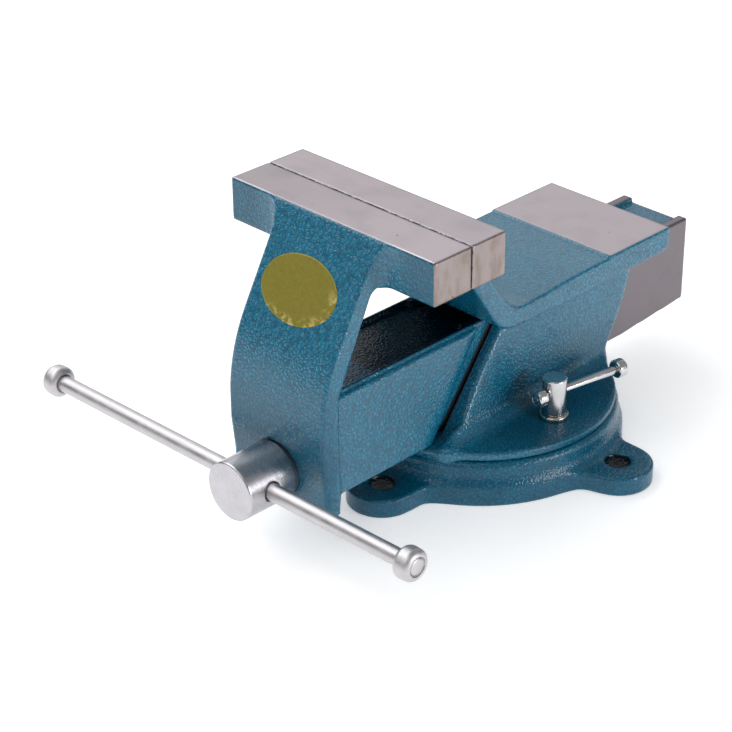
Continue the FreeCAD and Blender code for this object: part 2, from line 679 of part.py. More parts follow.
def main():
    parts = {
        "swivel_base": swivel_base(),
        "vise_body": vise_body(),
        "moving_jaw": moving_jaw(),
        "lead_screw": lead_screw(),
        "label": label(),
    }
    parts.update(handle_parts())
    parts.update(thrust_parts())
    parts.update(nut_parts())
    for side in (1, -1):
        parts.update(lock_parts(side))
    os.makedirs("parts", exist_ok=True)
    for node, shape in sorted(parts.items()):
        if shape.ShapeType != "Solid" and len(shape.Solids) == 1:
            shape = shape.Solids[0]
        box = shape.BoundBox
        print(
            f"{node:24s} solids {len(shape.Solids)} valid {shape.isValid()} volume {shape.Volume:10.1f}"
            f"  x {box.XMin:7.1f} {box.XMax:7.1f}  y {box.YMin:7.1f} {box.YMax:7.1f}"
            f"  z {box.ZMin:6.1f} {box.ZMax:6.1f}"
        )
        shape.exportStep(os.path.join("parts", node + ".step"))


main()
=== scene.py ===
import math

import bpy
import numpy as np
from mathutils import Matrix, Vector


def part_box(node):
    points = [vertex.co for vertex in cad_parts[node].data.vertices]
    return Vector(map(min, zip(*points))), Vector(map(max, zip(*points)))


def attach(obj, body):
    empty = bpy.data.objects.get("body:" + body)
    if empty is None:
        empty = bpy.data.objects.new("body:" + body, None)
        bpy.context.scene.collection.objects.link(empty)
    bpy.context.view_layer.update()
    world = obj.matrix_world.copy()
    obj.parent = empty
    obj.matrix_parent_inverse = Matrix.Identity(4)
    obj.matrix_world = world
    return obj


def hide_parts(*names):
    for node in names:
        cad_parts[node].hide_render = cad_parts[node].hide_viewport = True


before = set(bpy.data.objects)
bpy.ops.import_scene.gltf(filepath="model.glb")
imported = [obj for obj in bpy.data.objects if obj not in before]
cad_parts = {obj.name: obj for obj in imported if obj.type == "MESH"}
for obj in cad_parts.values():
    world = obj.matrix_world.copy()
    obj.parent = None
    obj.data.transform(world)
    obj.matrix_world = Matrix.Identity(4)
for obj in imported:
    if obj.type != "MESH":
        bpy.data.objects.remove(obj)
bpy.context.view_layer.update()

MM = 0.001

# Dimensions of the CAD model that the finer shapes follow, in millimetres
JAW_HALF = 75.0
JAW_TOP = 174.4
HEAD_FOOT = 149.6
HEAD_FRONT, HEAD_REAR = -116.0, -88.7
FIXED_FRONT, FIXED_REAR = -88.3, -63.0
PLATE_HALF = 36.0
PLATE_REAR_Y, PLATE_REAR_KNEE_Z, PLATE_NECK_Y = -144.4, 94.0, -118.4
PLATE_FOOT_Z, PLATE_FOOT_SETBACK, PLATE_FOOT_RADIUS = 23.0, 2.2, 4.0
KNEE = (-145.0, 122.0)
BOW = 101.7
SLIDE_HALF, SLIDE_TOP, SLIDE_BOTTOM, SLIDE_END = 24.2, 89.6, 32.0, 158.3
BOX_START, SLIDE_START, RECESS_START, RECESS_SETBACK = -148.0, -146.0, -143.9, 18.0
TAIL_START, TAIL_RISE = 96.0, 4.0
RAIL_WIDTH, RAIL_HEIGHT, LIP_WIDTH = 6.4, 3.0, 2.6
CHANNEL_HALF, CHANNEL_TOP = 18.0, 80.0
BOX_FOOT_HALF, BOX_TOP_HALF, BOX_TOP = 32.5, 27.0, 87.6
SHOULDER_FOOT_Y, SHOULDER_TOP_Y = -61.0, -19.0
SHOULDER_LEAN = (SHOULDER_TOP_Y - SHOULDER_FOOT_Y) / (BOX_TOP - SLIDE_BOTTOM)
PASSAGE_GAP, SHOULDER_GAP = 0.45, 2.5
TABLE_HALF, ANVIL_TOP, ANVIL_FRONT, ANVIL_REAR = 45.3, 105.8, 60.6, 113.8
TABLE_EDGE = 91.4
WALL_FRONT, WALL_RUN, WALL_REAR, WALL_FLARE = -68.0, 59.5, 73.0, 15.0
WALL_FRONT_HALF, WALL_NARROWING, WALL_REAR_HALF, WALL_WIDENING = 39.5, 8.0, 33.0, 9.0
NUT_SEAT_HALF, NUT_SEAT_FLOOR, NUT_HOLE, NUT_HOLE_TOP, LOCK_HOLE = 17.2, 20.0, 4.4, 26.0, 5.3
FLANGE_RADIUS, FLANGE_TOP, FLANGE_FOOT = 79.4, 31.0, 25.8
BASE_HEIGHT, DRUM_RADIUS, DRUM_SHOULDER = 25.4, 82.7, 22.9
LUG_RADIUS, LUG_CIRCLE, LUG_HEIGHT, LUG_FIRST, LUG_HOLE = 20.0, 94.3, 11.6, 9.0, 7.0
SPIGOT_RADIUS, SPIGOT_FOOT = 30.0, 12.0
SLOT_TOP, SLOT_FOOT, SLOT_HALF = 16.0, 6.0, 10.0
SLOT_MOUTH_FOOT, SLOT_MOUTH_HALF, SLOT_ENTRY, SLOT_ENTRY_TURN = 12.0, 5.6, 11.5, 60.0
SCREW_Z, SCREW_RADIUS, HEAD_RADIUS, HEAD_SEAT, HEAD_SEAT_Y = 42.6, 10.0, 16.7, 16.5, -156.0
HEAD_START, HEAD_END, SCREW_END = -191.0, -158.6, 155.0
PITCH, THREAD_DEPTH = 5.0, 1.6
THREAD_START, TIP_RADIUS, TIP_LENGTH = -130.0, 8.4, 2.4
HANDLE_Y, HANDLE_TILT, HANDLE_X, HANDLE_LENGTH, HANDLE_RADIUS = -175.5, 1.3, -23.5, 290.0, 4.75
HANDLE_HOLE, CAP_LENGTH = 5.15, 12.5
LOCK_X, LOCK_Y, LOCK_BAR_Z, LOCK_ANGLE = 56.5, 1.6, 46.0, 80.6
LOCK_HEAD_RADIUS, LOCK_HEAD_FOOT, LOCK_HEAD_TOP, LOCK_BAR_HOLE = 6.9, 33.86, 56.0, 2.72
LOCK_SHANK_RADIUS, LOCK_SHANK_FOOT, LOCK_SHANK_TOP = 5.0, 8.8, 34.4
LOCK_BAR_START, LOCK_BAR_END, LOCK_BAR_RADIUS, LOCK_CAP_LENGTH = -13.9, 50.6, 2.5, 6.6
LABEL_X, LABEL_Z, LABEL_HALF = -3.0, 139.4, (27.1, 18.5)

# Mesh pitch of the castings, the turned heads and the lock heads, in millimetres
CASTING_PITCH, QUICK_PITCH, HEAD_PITCH, LOCK_PITCH = 1.25, 1.6, 0.8, 0.55


# ------------------------------------------------------------ distance fields
# The last number given to smin, smax, rounded and box is a blend or an edge radius in millimetres.

def smin(a, b, k):
    """Union of two fields, blended over a width of k."""
    h = np.maximum(k - np.abs(a - b), 0.0) / k
    return np.minimum(a, b) - h * h * k * 0.25


def smax(a, b, k):
    """Intersection of two fields, blended over a width of k."""
    return -smin(-a, -b, k)


def rounded(parts, r):
    """Distance to the meeting of several slabs, with edges rounded by r."""
    outside = 0.0
    inside = None
    for d in parts:
        d = d + r
        outside = outside + np.maximum(d, 0.0) ** 2
        inside = d if inside is None else np.maximum(inside, d)
    return np.sqrt(outside) + np.minimum(inside, 0.0) - r


def slab(u, low, high):
    """Distance to the space between two parallel planes."""
    return np.abs(u - (low + high) / 2) - (high - low) / 2


def box(x, y, z, xs, ys, zs, r):
    return rounded([slab(x, *xs), slab(y, *ys), slab(z, *zs)], r)


def polygon(points, u, v):
    """Signed distance to a closed polygon in the (u, v) plane."""
    nearest = None
    inside = False
    for (au, av), (bu, bv) in zip(points, points[1:] + points[:1]):
        eu, ev = bu - au, bv - av
        if eu * eu + ev * ev < 1e-9:
            continue
        wu, wv = u - au, v - av
        t = np.clip((wu * eu + wv * ev) / (eu * eu + ev * ev), 0.0, 1.0)
        d = (wu - t * eu) ** 2 + (wv - t * ev) ** 2
        nearest = d if nearest is None else np.minimum(nearest, d)
        if ev != 0:
            crosses = ((av <= v) != (bv <= v)) & (wu < eu * wv / ev)
            inside = inside ^ crosses
    return np.sqrt(nearest) * np.where(inside, -1.0, 1.0)


def arc(centre, radius, start, end, count):
    """Points of a round arc, from one angle to another in degrees."""
    turns = np.radians(np.linspace(start, end, count))
    return [(centre[0] + radius * math.cos(t), centre[1] + radius * math.sin(t)) for t in turns]


def curve_through(points, count):
    """Catmull-Rom points through a short list, for cast outlines."""
    p = [np.array(q, float) for q in points]
    p = [2 * p[0] - p[1]] + p + [2 * p[-1] - p[-2]]
    out = []
    for a, b, c, d in zip(p, p[1:], p[2:], p[3:]):
        for t in np.linspace(0, 1, count, endpoint=False):
            bend = (2 * a - 5 * b + 4 * c - d) * t * t + (3 * b - a - 3 * c + d) * t ** 3
            out.append(tuple(0.5 * (2 * b + (c - a) * t + bend)))
    out.append(tuple(p[-2]))
    return out


def net(field, low, high, pitch):
    """A quad mesh of the field's zero surface: surface nets, then Newton steps onto the surface."""
    axes = [np.arange(a - 1.6 * pitch, b + 2.6 * pitch, pitch) for a, b in zip(low, high)]
    x, y, z = np.meshgrid(*axes, indexing="ij", sparse=True)
    d = np.broadcast_to(field(x, y, z), [len(a) for a in axes]).astype(np.float32)
    inside = d < 0
    nx, ny, nz = d.shape
    corners = [(i, j, k) for i in (0, 1) for j in (0, 1) for k in (0, 1)]
    total = np.zeros((nx - 1, ny - 1, nz - 1), np.int8)
    for i, j, k in corners:
        total += inside[i:nx - 1 + i, j:ny - 1 + j, k:nz - 1 + k]
    active = (total > 0) & (total < 8)
    index = np.full(active.shape, -1, np.int64)
    cells = np.argwhere(active)
    index[active] = np.arange(len(cells))
    value = [d[cells[:, 0] + i, cells[:, 1] + j, cells[:, 2] + k] for i, j, k in corners]
    place = np.zeros((len(cells), 3))
    count = np.zeros(len(cells))
    for a, ca in enumerate(corners):
        for b, cb in enumerate(corners):
            if b <= a or sum(abs(p - q) for p, q in zip(ca, cb)) != 1:
                continue
            cut = (value[a] < 0) != (value[b] < 0)
            t = np.where(cut, value[a] / np.where(cut, value[a] - value[b], 1.0), 0.0)
            point = np.array(ca) + t[:, None] * (np.array(cb) - np.array(ca))
            place += point * cut[:, None]
            count += cut
    place = place / count[:, None] + cells
    points = np.stack([axes[n][0] + place[:, n] * pitch for n in range(3)], 1)
    quads = []
    for axis in range(3):
        p, q = (axis + 1) % 3, (axis + 2) % 3
        one = [slice(1, -1)] * 3
        two = [slice(1, -1)] * 3
        one[axis], two[axis] = slice(None, -1), slice(1, None)
        first, second = inside[tuple(one)], inside[tuple(two)]
        found = np.argwhere(first != second)
        lower = first[tuple(found.T)]
        around = []
        for dp, dq in ((0, 0), (1, 0), (1, 1), (0, 1)):
            cell = found.copy()
            cell[:, p] += dp
            cell[:, q] += dq
            around.append(index[tuple(cell.T)])
        quad = np.stack(around, 1)
        quad[~lower] = quad[~lower][:, ::-1]
        quads.append(quad)
    step = 0.12
    for _ in range(3):
        v = field(*points.T)
        grad = np.stack([
            field(*(points + off).T) - field(*(points - off).T)
            for off in np.eye(3) * step
        ], 1) / (2 * step)
        size = np.maximum((grad ** 2).sum(1), 0.05)
        move = -(v / size)[:, None] * grad
        length = np.linalg.norm(move, axis=1)[:, None]
        points += move * np.minimum(1.0, pitch * 0.6 / np.maximum(length, 1e-9))
    return points, np.concatenate(quads)


def make_mesh(name, points, faces, body, material, replaces=()):
    """points in millimetres; faces as one array of quads or a list of index lists."""
    mesh = bpy.data.meshes.new(name)
    if isinstance(faces, np.ndarray):
        mesh.vertices.add(len(points))
        mesh.vertices.foreach_set("co", (np.asarray(points) * MM).astype(np.float32).ravel())
        mesh.loops.add(faces.size)
        mesh.loops.foreach_set("vertex_index", faces.astype(np.int32).ravel())
        mesh.polygons.add(len(faces))
        mesh.polygons.foreach_set("loop_start", np.arange(0, faces.size, faces.shape[1], dtype=np.int32))
    else:
        mesh.from_pydata([tuple(np.asarray(p) * MM) for p in points], [], faces)
    mesh.polygons.foreach_set("use_smooth", np.full(len(mesh.polygons), True))
    mesh.update(calc_edges=True)
    mesh.validate()
    mesh.materials.append(material)
    piece = bpy.data.objects.new(name, mesh)
    bpy.context.scene.collection.objects.link(piece)
    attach(piece, body)
    if replaces:
        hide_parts(*replaces)


# ------------------------------------------------------------ castings

FLANK = math.atan2(HEAD_FRONT - KNEE[0], JAW_TOP - KNEE[1])


def plate_profile():
    """Side outline (y, z) of the moving jaw's front plate, carried up past the top, where it is cut off."""
    centre = (KNEE[0] + BOW * math.cos(FLANK), KNEE[1] - BOW * math.sin(FLANK))
    front = centre[0] - BOW
    above, join_y = JAW_TOP + 8, -100.0
    points = [(HEAD_FRONT, above), (HEAD_FRONT, JAW_TOP), KNEE]
    points += arc(centre, BOW, 180 - math.degrees(FLANK), 180, 14)[1:]
    points += [(front, 60.0), (front + PLATE_FOOT_SETBACK, 40.0)]
    foot_centre = (front + PLATE_FOOT_SETBACK + PLATE_FOOT_RADIUS, PLATE_FOOT_Z + PLATE_FOOT_RADIUS)
    points += arc(foot_centre, PLATE_FOOT_RADIUS, 180, 270, 5)
    points += [(PLATE_REAR_Y, PLATE_FOOT_Z), (PLATE_REAR_Y, PLATE_REAR_KNEE_Z), (PLATE_NECK_Y, HEAD_FOOT)]
    points += [(join_y, HEAD_FOOT), (join_y, above)]
    return points


def moving_jaw_field(x, y, z):
    ax = np.abs(x)
    side = polygon(PLATE, y, z)
    plate = rounded([side, ax - PLATE_HALF], 2.2)
    head = box(x, y, z, (-JAW_HALF, JAW_HALF), (HEAD_FRONT, HEAD_REAR), (HEAD_FOOT, JAW_TOP + 9), 1.0)
    casting = smin(head, plate, 10.0)
    # drafted box with its slanted shoulder
    draft = (BOX_FOOT_HALF - BOX_TOP_HALF) / (BOX_TOP - SLIDE_BOTTOM)
    flank = (ax - BOX_FOOT_HALF + draft * (z - SLIDE_BOTTOM)) / math.hypot(1, draft)
    end = (y - SHOULDER_FOOT_Y - SHOULDER_LEAN * (z - SLIDE_BOTTOM)) / math.hypot(1, SHOULDER_LEAN)
    top = smax(z - BOX_TOP, end, 9.0)
    shell = rounded([flank, top, SLIDE_BOTTOM - z, BOX_START - y], 2.6)
    front_box = smax(shell, smax(flank, end, 17.0), 0.5)
    casting = smin(casting, front_box, 6.0)
    # slide
    tail = SLIDE_BOTTOM + TAIL_RISE * np.clip((y - TAIL_START) / (SLIDE_END - TAIL_START), 0, 1)
    bar = rounded([ax - SLIDE_HALF, z - SLIDE_TOP, tail - z, y - SLIDE_END, SLIDE_START - y], 0.9)
    casting = np.minimum(casting, bar)
    inner = np.where(y < SHOULDER_TOP_Y - RECESS_SETBACK, SLIDE_HALF - LIP_WIDTH, SLIDE_HALF - RAIL_WIDTH)
    recess = rounded([ax - inner, slab(z, SLIDE_TOP - RAIL_HEIGHT, SLIDE_TOP + 1.5), RECESS_START - y], 0.6)
    channel = rounded([ax - CHANNEL_HALF, z - CHANNEL_TOP, PLATE_REAR_Y - y], 2.0)
    casting = smax(casting, -recess, 0.8)
    casting = smax(casting, -channel, 1.2)
    radius = np.sqrt(x * x + (z - SCREW_Z) ** 2)
    bore = rounded([radius - SCREW_RADIUS - 0.2, y - THREAD_START], 0.2)
    seat = rounded([radius - HEAD_SEAT, y - HEAD_SEAT_Y], 0.2)
    casting = smax(casting, -np.minimum(bore, seat), 0.6)
    # the blend must not bulge ahead of the plate's flank
    ahead = -math.cos(FLANK) * (y - HEAD_FRONT) + math.sin(FLANK) * (z - JAW_TOP)
    return smax(np.maximum(casting, ahead), z - JAW_TOP, 0.7)


def table_profile():
    """Side outline (y, z) of the anvil table and the neck that carries the fixed jaw."""
    top = [(ANVIL_REAR, ANVIL_TOP), (ANVIL_FRONT, ANVIL_TOP)]
    top += [(ANVIL_FRONT - 0.9, ANVIL_TOP - 1.0), (30.0, 104.4)]
    top += curve_through([(2.0, 102.6), (-9.0, 102.0), (-18.0, 103.0), (-25.0, 107.2), (-31.0, 114.3)], 5)
    neck_top = 161.0
    neck = [(FIXED_REAR, neck_top), (FIXED_REAR - 6.0, neck_top), (FIXED_REAR - 6.0, HEAD_FOOT)]
    under = curve_through([(-43.6, 111.5), (-37.5, 101.8), (-31.0, 94.6), (-22.0, 91.4), (-10.0, 90.8)], 5)
    rear = [(ANVIL_REAR - 5.0, TABLE_EDGE), (ANVIL_REAR - 1.4, TABLE_EDGE + 1.5)]
    rear += [(ANVIL_REAR, TABLE_EDGE + 5.0)]
    return top + neck + under + rear


def body_field(x, y, z):
    ax = np.abs(x)
    side = polygon(TABLE, y, z)
    table = rounded([side, ax - TABLE_HALF], 1.3)
    head = box(x, y, z, (-JAW_HALF, JAW_HALF), (FIXED_FRONT, FIXED_REAR), (HEAD_FOOT, JAW_TOP + 9), 1.0)
    casting = smin(table, head, 7.0)
    # flared side walls
    rise = np.clip((z - FLANGE_TOP + 1.0) / (TABLE_EDGE + 4.0 - FLANGE_TOP + 1.0), 0.0, 1.0)
    front = WALL_FRONT + WALL_RUN * rise
    rear = WALL_REAR + WALL_FLARE * (1 - (1 - rise) ** 2)
    front_half = WALL_FRONT_HALF - WALL_NARROWING * (1 - (1 - rise) ** 3)
    rear_half = WALL_REAR_HALF + WALL_WIDENING * rise
    along = np.clip((y - front) / (rear - front), -0.2, 1.2)
    flank = (ax - front_half - (rear_half - front_half) * along) * 0.98
    lean = WALL_RUN / (TABLE_EDGE + 5.0 - FLANGE_TOP)
    walls = smax(smax((front - y) / math.hypot(1, lean), y - rear, 6.0), flank, 6.0)
    walls = np.maximum(walls, z - TABLE_EDGE - 6.0)
    walls = np.maximum(walls, FLANGE_TOP - 5.0 - z)
    radius = np.sqrt(x * x + y * y)
    flange = rounded([radius - FLANGE_RADIUS, slab(z, FLANGE_FOOT, FLANGE_TOP)], 1.4)
    lower = smin(walls, flange, 11.0)
    casting = smin(casting, lower, 5.0)
    spigot = rounded([radius - SPIGOT_RADIUS, slab(z, SPIGOT_FOOT, FLANGE_TOP)], 0.6)
    casting = np.minimum(casting, spigot)
    height = slab(z, SLIDE_BOTTOM - PASSAGE_GAP, SLIDE_TOP + PASSAGE_GAP)
    passage = rounded([ax - SLIDE_HALF - PASSAGE_GAP, height], 0.5)
    casting = smax(casting, -passage, 1.0)
    # room for the moving jaw's box, which stops short of the slanted wall
    room_top, room_wall = 90.2, SHOULDER_FOOT_Y + 4.2
    reach = (y - room_wall - SHOULDER_LEAN * (z - SLIDE_BOTTOM)) / math.hypot(1, SHOULDER_LEAN)
    room = rounded([ax - BOX_FOOT_HALF - SHOULDER_GAP, reach, SLIDE_BOTTOM - 0.3 - z, z - room_top], 1.0)
    wider = rounded([reach, 42.0 - z, z - room_top], 1.5)
    casting = smax(casting, -np.minimum(room, wider), 2.6)
    # seat and bolt hole of the screw's nut, and the lock bolts' holes
    pocket_height = slab(z, NUT_SEAT_FLOOR, SLIDE_BOTTOM + 4)
    pocket = rounded([ax - NUT_SEAT_HALF, np.abs(y) - NUT_SEAT_HALF, pocket_height], 0.3)
    hole = rounded([radius - NUT_HOLE, z - NUT_HOLE_TOP], 0.1)
    casting = smax(casting, -np.minimum(pocket, hole), 0.4)
    lock = np.sqrt((ax - LOCK_X) ** 2 + (y - LOCK_Y) ** 2) - LOCK_HOLE
    casting = smax(casting, -lock, 0.5)
    return smax(casting, z - JAW_TOP, 1.0)


LUG_TURNS = [math.radians(LUG_FIRST + 90.0 * index) for index in range(4)]
LUG_CENTRES = [(LUG_CIRCLE * math.cos(turn), LUG_CIRCLE * math.sin(turn)) for turn in LUG_TURNS]


def base_field(x, y, z):
    radius = np.sqrt(x * x + y * y)
    draft = DRUM_RADIUS - 1.5 * np.clip(z / DRUM_SHOULDER, 0, 1)
    draft = draft - 1.6 * np.clip((z - DRUM_SHOULDER) / (BASE_HEIGHT - DRUM_SHOULDER), 0, 1)
    drum = rounded([radius - draft, slab(z, 0.0, BASE_HEIGHT)], 1.2)
    away = np.inf
    for cx, cy in LUG_CENTRES:
        away = np.minimum(away, np.sqrt((x - cx) ** 2 + (y - cy) ** 2))
    plan = smin(away - LUG_RADIUS, radius - DRUM_RADIUS, 20.0)
    feet = rounded([plan, slab(z, 0.0, LUG_HEIGHT)], 1.6)
    casting = smin(drum, feet, 7.0)
    casting = smax(casting, -z, 0.8)
    casting = smax(casting, LUG_HOLE - away, 1.6)
    casting = smax(casting, SPIGOT_RADIUS + 0.3 - radius, 1.0)
    # circular T-slot, with one wide hole to put the nuts in
    ring = math.hypot(LOCK_X, LOCK_Y)
    neck = rounded([np.abs(radius - ring) - SLOT_MOUTH_HALF, SLOT_MOUTH_FOOT - z], 0.2)
    undercut = rounded([np.abs(radius - ring) - SLOT_HALF, slab(z, SLOT_FOOT, SLOT_TOP)], 0.3)
    turn = math.radians(SLOT_ENTRY_TURN)
    entry = np.sqrt((x - ring * math.cos(turn)) ** 2 + (y - ring * math.sin(turn)) ** 2)
    entry = rounded([entry - SLOT_ENTRY, SLOT_FOOT - z], 0.2)
    return smax(casting, -np.minimum(np.minimum(neck, undercut), entry), 0.5)


# ------------------------------------------------------------ turned pieces

def frame_along(start, direction):
    """Matrix that puts +X along direction, from start, in millimetres."""
    d = Vector(direction).normalized()
    turn = d.to_track_quat("X", "Z").to_matrix().to_4x4()
    return Matrix.Translation(Vector(start)) @ turn


def soften(profile, radius, count=4):
    """Rounds the inner corners of an open (axial, radial) outline."""
    out = [profile[0]]
    for before, here, after in zip(profile, profile[1:], profile[2:]):
        a, b, c = np.array(before), np.array(here), np.array(after)
        one, two = np.linalg.norm(a - b), np.linalg.norm(c - b)
        reach = min(radius, one * 0.45, two * 0.45)
        if reach < 0.02:
            out.append(tuple(b))
            continue
        p, q = b + (a - b) / one * reach, b + (c - b) / two * reach
        for t in np.linspace(0, 1, count + 1):
            out.append(tuple(p * (1 - t) ** 2 + 2 * b * t * (1 - t) + q * t * t))
    out.append(profile[-1])
    return out


def lathe(profile, segments, matrix):
    """Turns an open (axial, radial) outline about +X. Its ends lie on the axis or inside another piece."""
    points = []
    faces = []
    rings = []
    for axial, radial in profile:
        if radial < 1e-6:
            rings.append([len(points)])
            points.append(matrix @ Vector((axial, 0, 0)))
            continue
        ring = []
        for n in range(segments):
            turn = 2 * math.pi * n / segments
            ring.append(len(points))
            points.append(matrix @ Vector((axial, radial * math.cos(turn), radial * math.sin(turn))))
        rings.append(ring)
    for one, two in zip(rings, rings[1:]):
        for n in range(segments):
            m = (n + 1) % segments
            if len(one) == 1:
                faces.append([one[0], two[n], two[m]])
            elif len(two) == 1:
                faces.append([one[n], two[0], one[m]])
            else:
                faces.append([one[n], two[n], two[m], one[m]])
    return points, faces


def turned(name, profile, matrix, body, material, replaces=(), segments=72, r=0.5):
    """A turned piece with its outline's corners rounded by r."""
    points, faces = lathe(soften(profile, r), segments, matrix)
    make_mesh(name, points, faces, body, material, replaces)


def netted(name, field, low, high, pitch, body, material, replaces):
    """A mesh of the field's surface, kept inside its box."""
    points, quads = net(field, low, high, pitch)
    make_mesh(name, np.clip(points, low, high), quads, body, material, replaces)


def bar_profile(length, end):
    """Outline of a bar from the outline of one end."""
    return end + [(length - axial, radial) for axial, radial in reversed(end)]


PLATE = plate_profile()
TABLE = table_profile()

# ------------------------------------------------------------ materials

PAINT_LIGHT = (0.010, 0.212, 0.335)
PAINT_MID = (0.005, 0.155, 0.262)
PAINT_DEEP = (0.003, 0.128, 0.222)
PAINT_VEIN = (0.001, 0.070, 0.130)
# painted shade, and a near-black painted shadow for holes and recesses
PAINTED_SHADE = (0.000, 0.055, 0.105)
PAINTED_DEEP_SHADOW = (0.000, 0.010, 0.018)
TOP_STEEL = (0.49, 0.435, 0.458)
END_STEEL = (0.355, 0.303, 0.292)
SLIDE_STEEL = (0.215, 0.193, 0.21)
GRINDING_DUST = (0.05, 0.035, 0.03)
END_STAIN = (0.21, 0.145, 0.11)
PIT = (0.035, 0.026, 0.025)


def scaled(colour, factor):
    return tuple(c * factor for c in colour)


class Look:
    """A material built on one Principled shader, with its pattern space in millimetres of the row frame."""

    def __init__(self, name):
        self.material = bpy.data.materials.new(name)
        self.material.use_nodes = True
        self.tree = self.material.node_tree
        self.tree.nodes.clear()
        self.shader = self.node("ShaderNodeBsdfPrincipled")
        out = self.node("ShaderNodeOutputMaterial")
        self.tree.links.new(self.shader.outputs["BSDF"], out.inputs["Surface"])
        coord = self.node("ShaderNodeTexCoord")
        self.place = self.vector("SCALE", coord.outputs["Object"], scale=1 / MM)
        split = self.node("ShaderNodeSeparateXYZ", [self.place])
        self.x, self.y, self.z = split.outputs

    def node(self, kind, inputs=(), **settings):
        made = self.tree.nodes.new(kind)
        for key, value in settings.items():
            setattr(made, key, value)
        for key, value in (inputs.items() if isinstance(inputs, dict) else enumerate(inputs)):
            if value is None:
                continue
            if isinstance(value, bpy.types.NodeSocket):
                self.tree.links.new(value, made.inputs[key])
            else:
                made.inputs[key].default_value = value
        return made

    def vector(self, operation, a, b=None, scale=None):
        made = self.node("ShaderNodeVectorMath", [a, b], operation=operation)
        if scale is not None:
            made.inputs["Scale"].default_value = scale
        return made.outputs["Vector"]

    def math(self, operation, a, b=None):
        return self.node("ShaderNodeMath", [a, b], operation=operation).outputs[0]

    def length(self, u, v):
        squares = self.math("ADD", self.math("POWER", u, 2.0), self.math("POWER", v, 2.0))
        return self.math("SQRT", squares)

    def ramp(self, value, low, high, start=0.0, end=1.0):
        """start where value is low or less, end where it is high or more, and a smooth step between."""
        inputs = [value, low, high, start, end]
        return self.node("ShaderNodeMapRange", inputs, interpolation_type="SMOOTHSTEP").outputs["Result"]

    def stretch(self, factors):
        return self.vector("MULTIPLY", self.place, factors)

    def noise(self, scale, detail=2.0, vector=None, roughness=0.55, colour=False):
        inputs = {"Vector": vector or self.place, "Scale": scale, "Detail": detail, "Roughness": roughness}
        made = self.node("ShaderNodeTexNoise", inputs)
        return made.outputs["Color" if colour else "Fac"]

    def cells(self, scale, feature, vector):
        made = self.node("ShaderNodeTexVoronoi", {"Vector": vector, "Scale": scale}, feature=feature)
        return made.outputs["Distance"]

    def warped(self, scale, amount):
        shift = self.vector("SUBTRACT", self.noise(scale, 2.0, colour=True), (0.5, 0.5, 0.5))
        return self.vector("ADD", self.place, self.vector("SCALE", shift, scale=amount))

    def mix(self, factor, a, b):
        """Colours or numbers, whichever a and b are."""
        if any(isinstance(v, tuple) or getattr(v, "type", None) == "RGBA" for v in (a, b)):
            a = (*a, 1.0) if isinstance(a, tuple) else a
            b = (*b, 1.0) if isinstance(b, tuple) else b
            made = self.node("ShaderNodeMix", {0: factor, 6: a, 7: b}, data_type="RGBA")
            return made.outputs[2]
        return self.node("ShaderNodeMix", {0: factor, 2: a, 3: b}, data_type="FLOAT").outputs[0]

    def bump(self, height, strength, distance_mm):
        inputs = {"Strength": strength, "Distance": distance_mm * MM, "Height": height}
        return self.node("ShaderNodeBump", inputs).outputs["Normal"]

    def set(self, **sockets):
        for key, value in sockets.items():
            socket = self.shader.inputs[key.replace("_", " ")]
            if isinstance(value, bpy.types.NodeSocket):
                self.tree.links.new(value, socket)
            else:
                socket.default_value = (*value, 1.0) if isinstance(value, tuple) else value
        return self.material


def hammered(look, shade):
    """Glossy paint in cells of about 2.4 mm with darker broken veins between them; the shade mask paints
    shade into it, near black where it is deepest.
    """
    warped = look.warped(0.36, 2.2)
    edge = look.cells(0.42, "DISTANCE_TO_EDGE", warped)
    grain = look.noise(0.8, 3.0)
    large = look.noise(0.03, 2.0)
    veins = look.ramp(edge, 0.03, 0.18, 1.0, 0.0)
    veins = look.math("MULTIPLY", veins, look.ramp(grain, 0.34, 0.52, 0.15, 1.0))
    body = look.mix(look.ramp(grain, 0.38, 0.64), PAINT_MID, PAINT_LIGHT)
    body = look.mix(look.math("MULTIPLY", look.ramp(large, 0.4, 0.6), 0.3), body, PAINT_DEEP)
    colour = look.mix(veins, body, PAINT_VEIN)
    # painted shade: the shade mask darkens the paint, and near black as painted shadow where it is deepest
    colour = look.mix(shade, colour, PAINTED_SHADE)
    colour = look.mix(look.ramp(shade, 0.78, 1.0), colour, PAINTED_DEEP_SHADOW)
    rough = look.math("ADD", look.ramp(grain, 0.3, 0.7, 0.12, 0.2), look.math("MULTIPLY", veins, 0.12))
    height = look.math("ADD", look.ramp(edge, 0.0, 0.36), look.math("MULTIPLY", grain, 0.5))
    return colour, rough, height


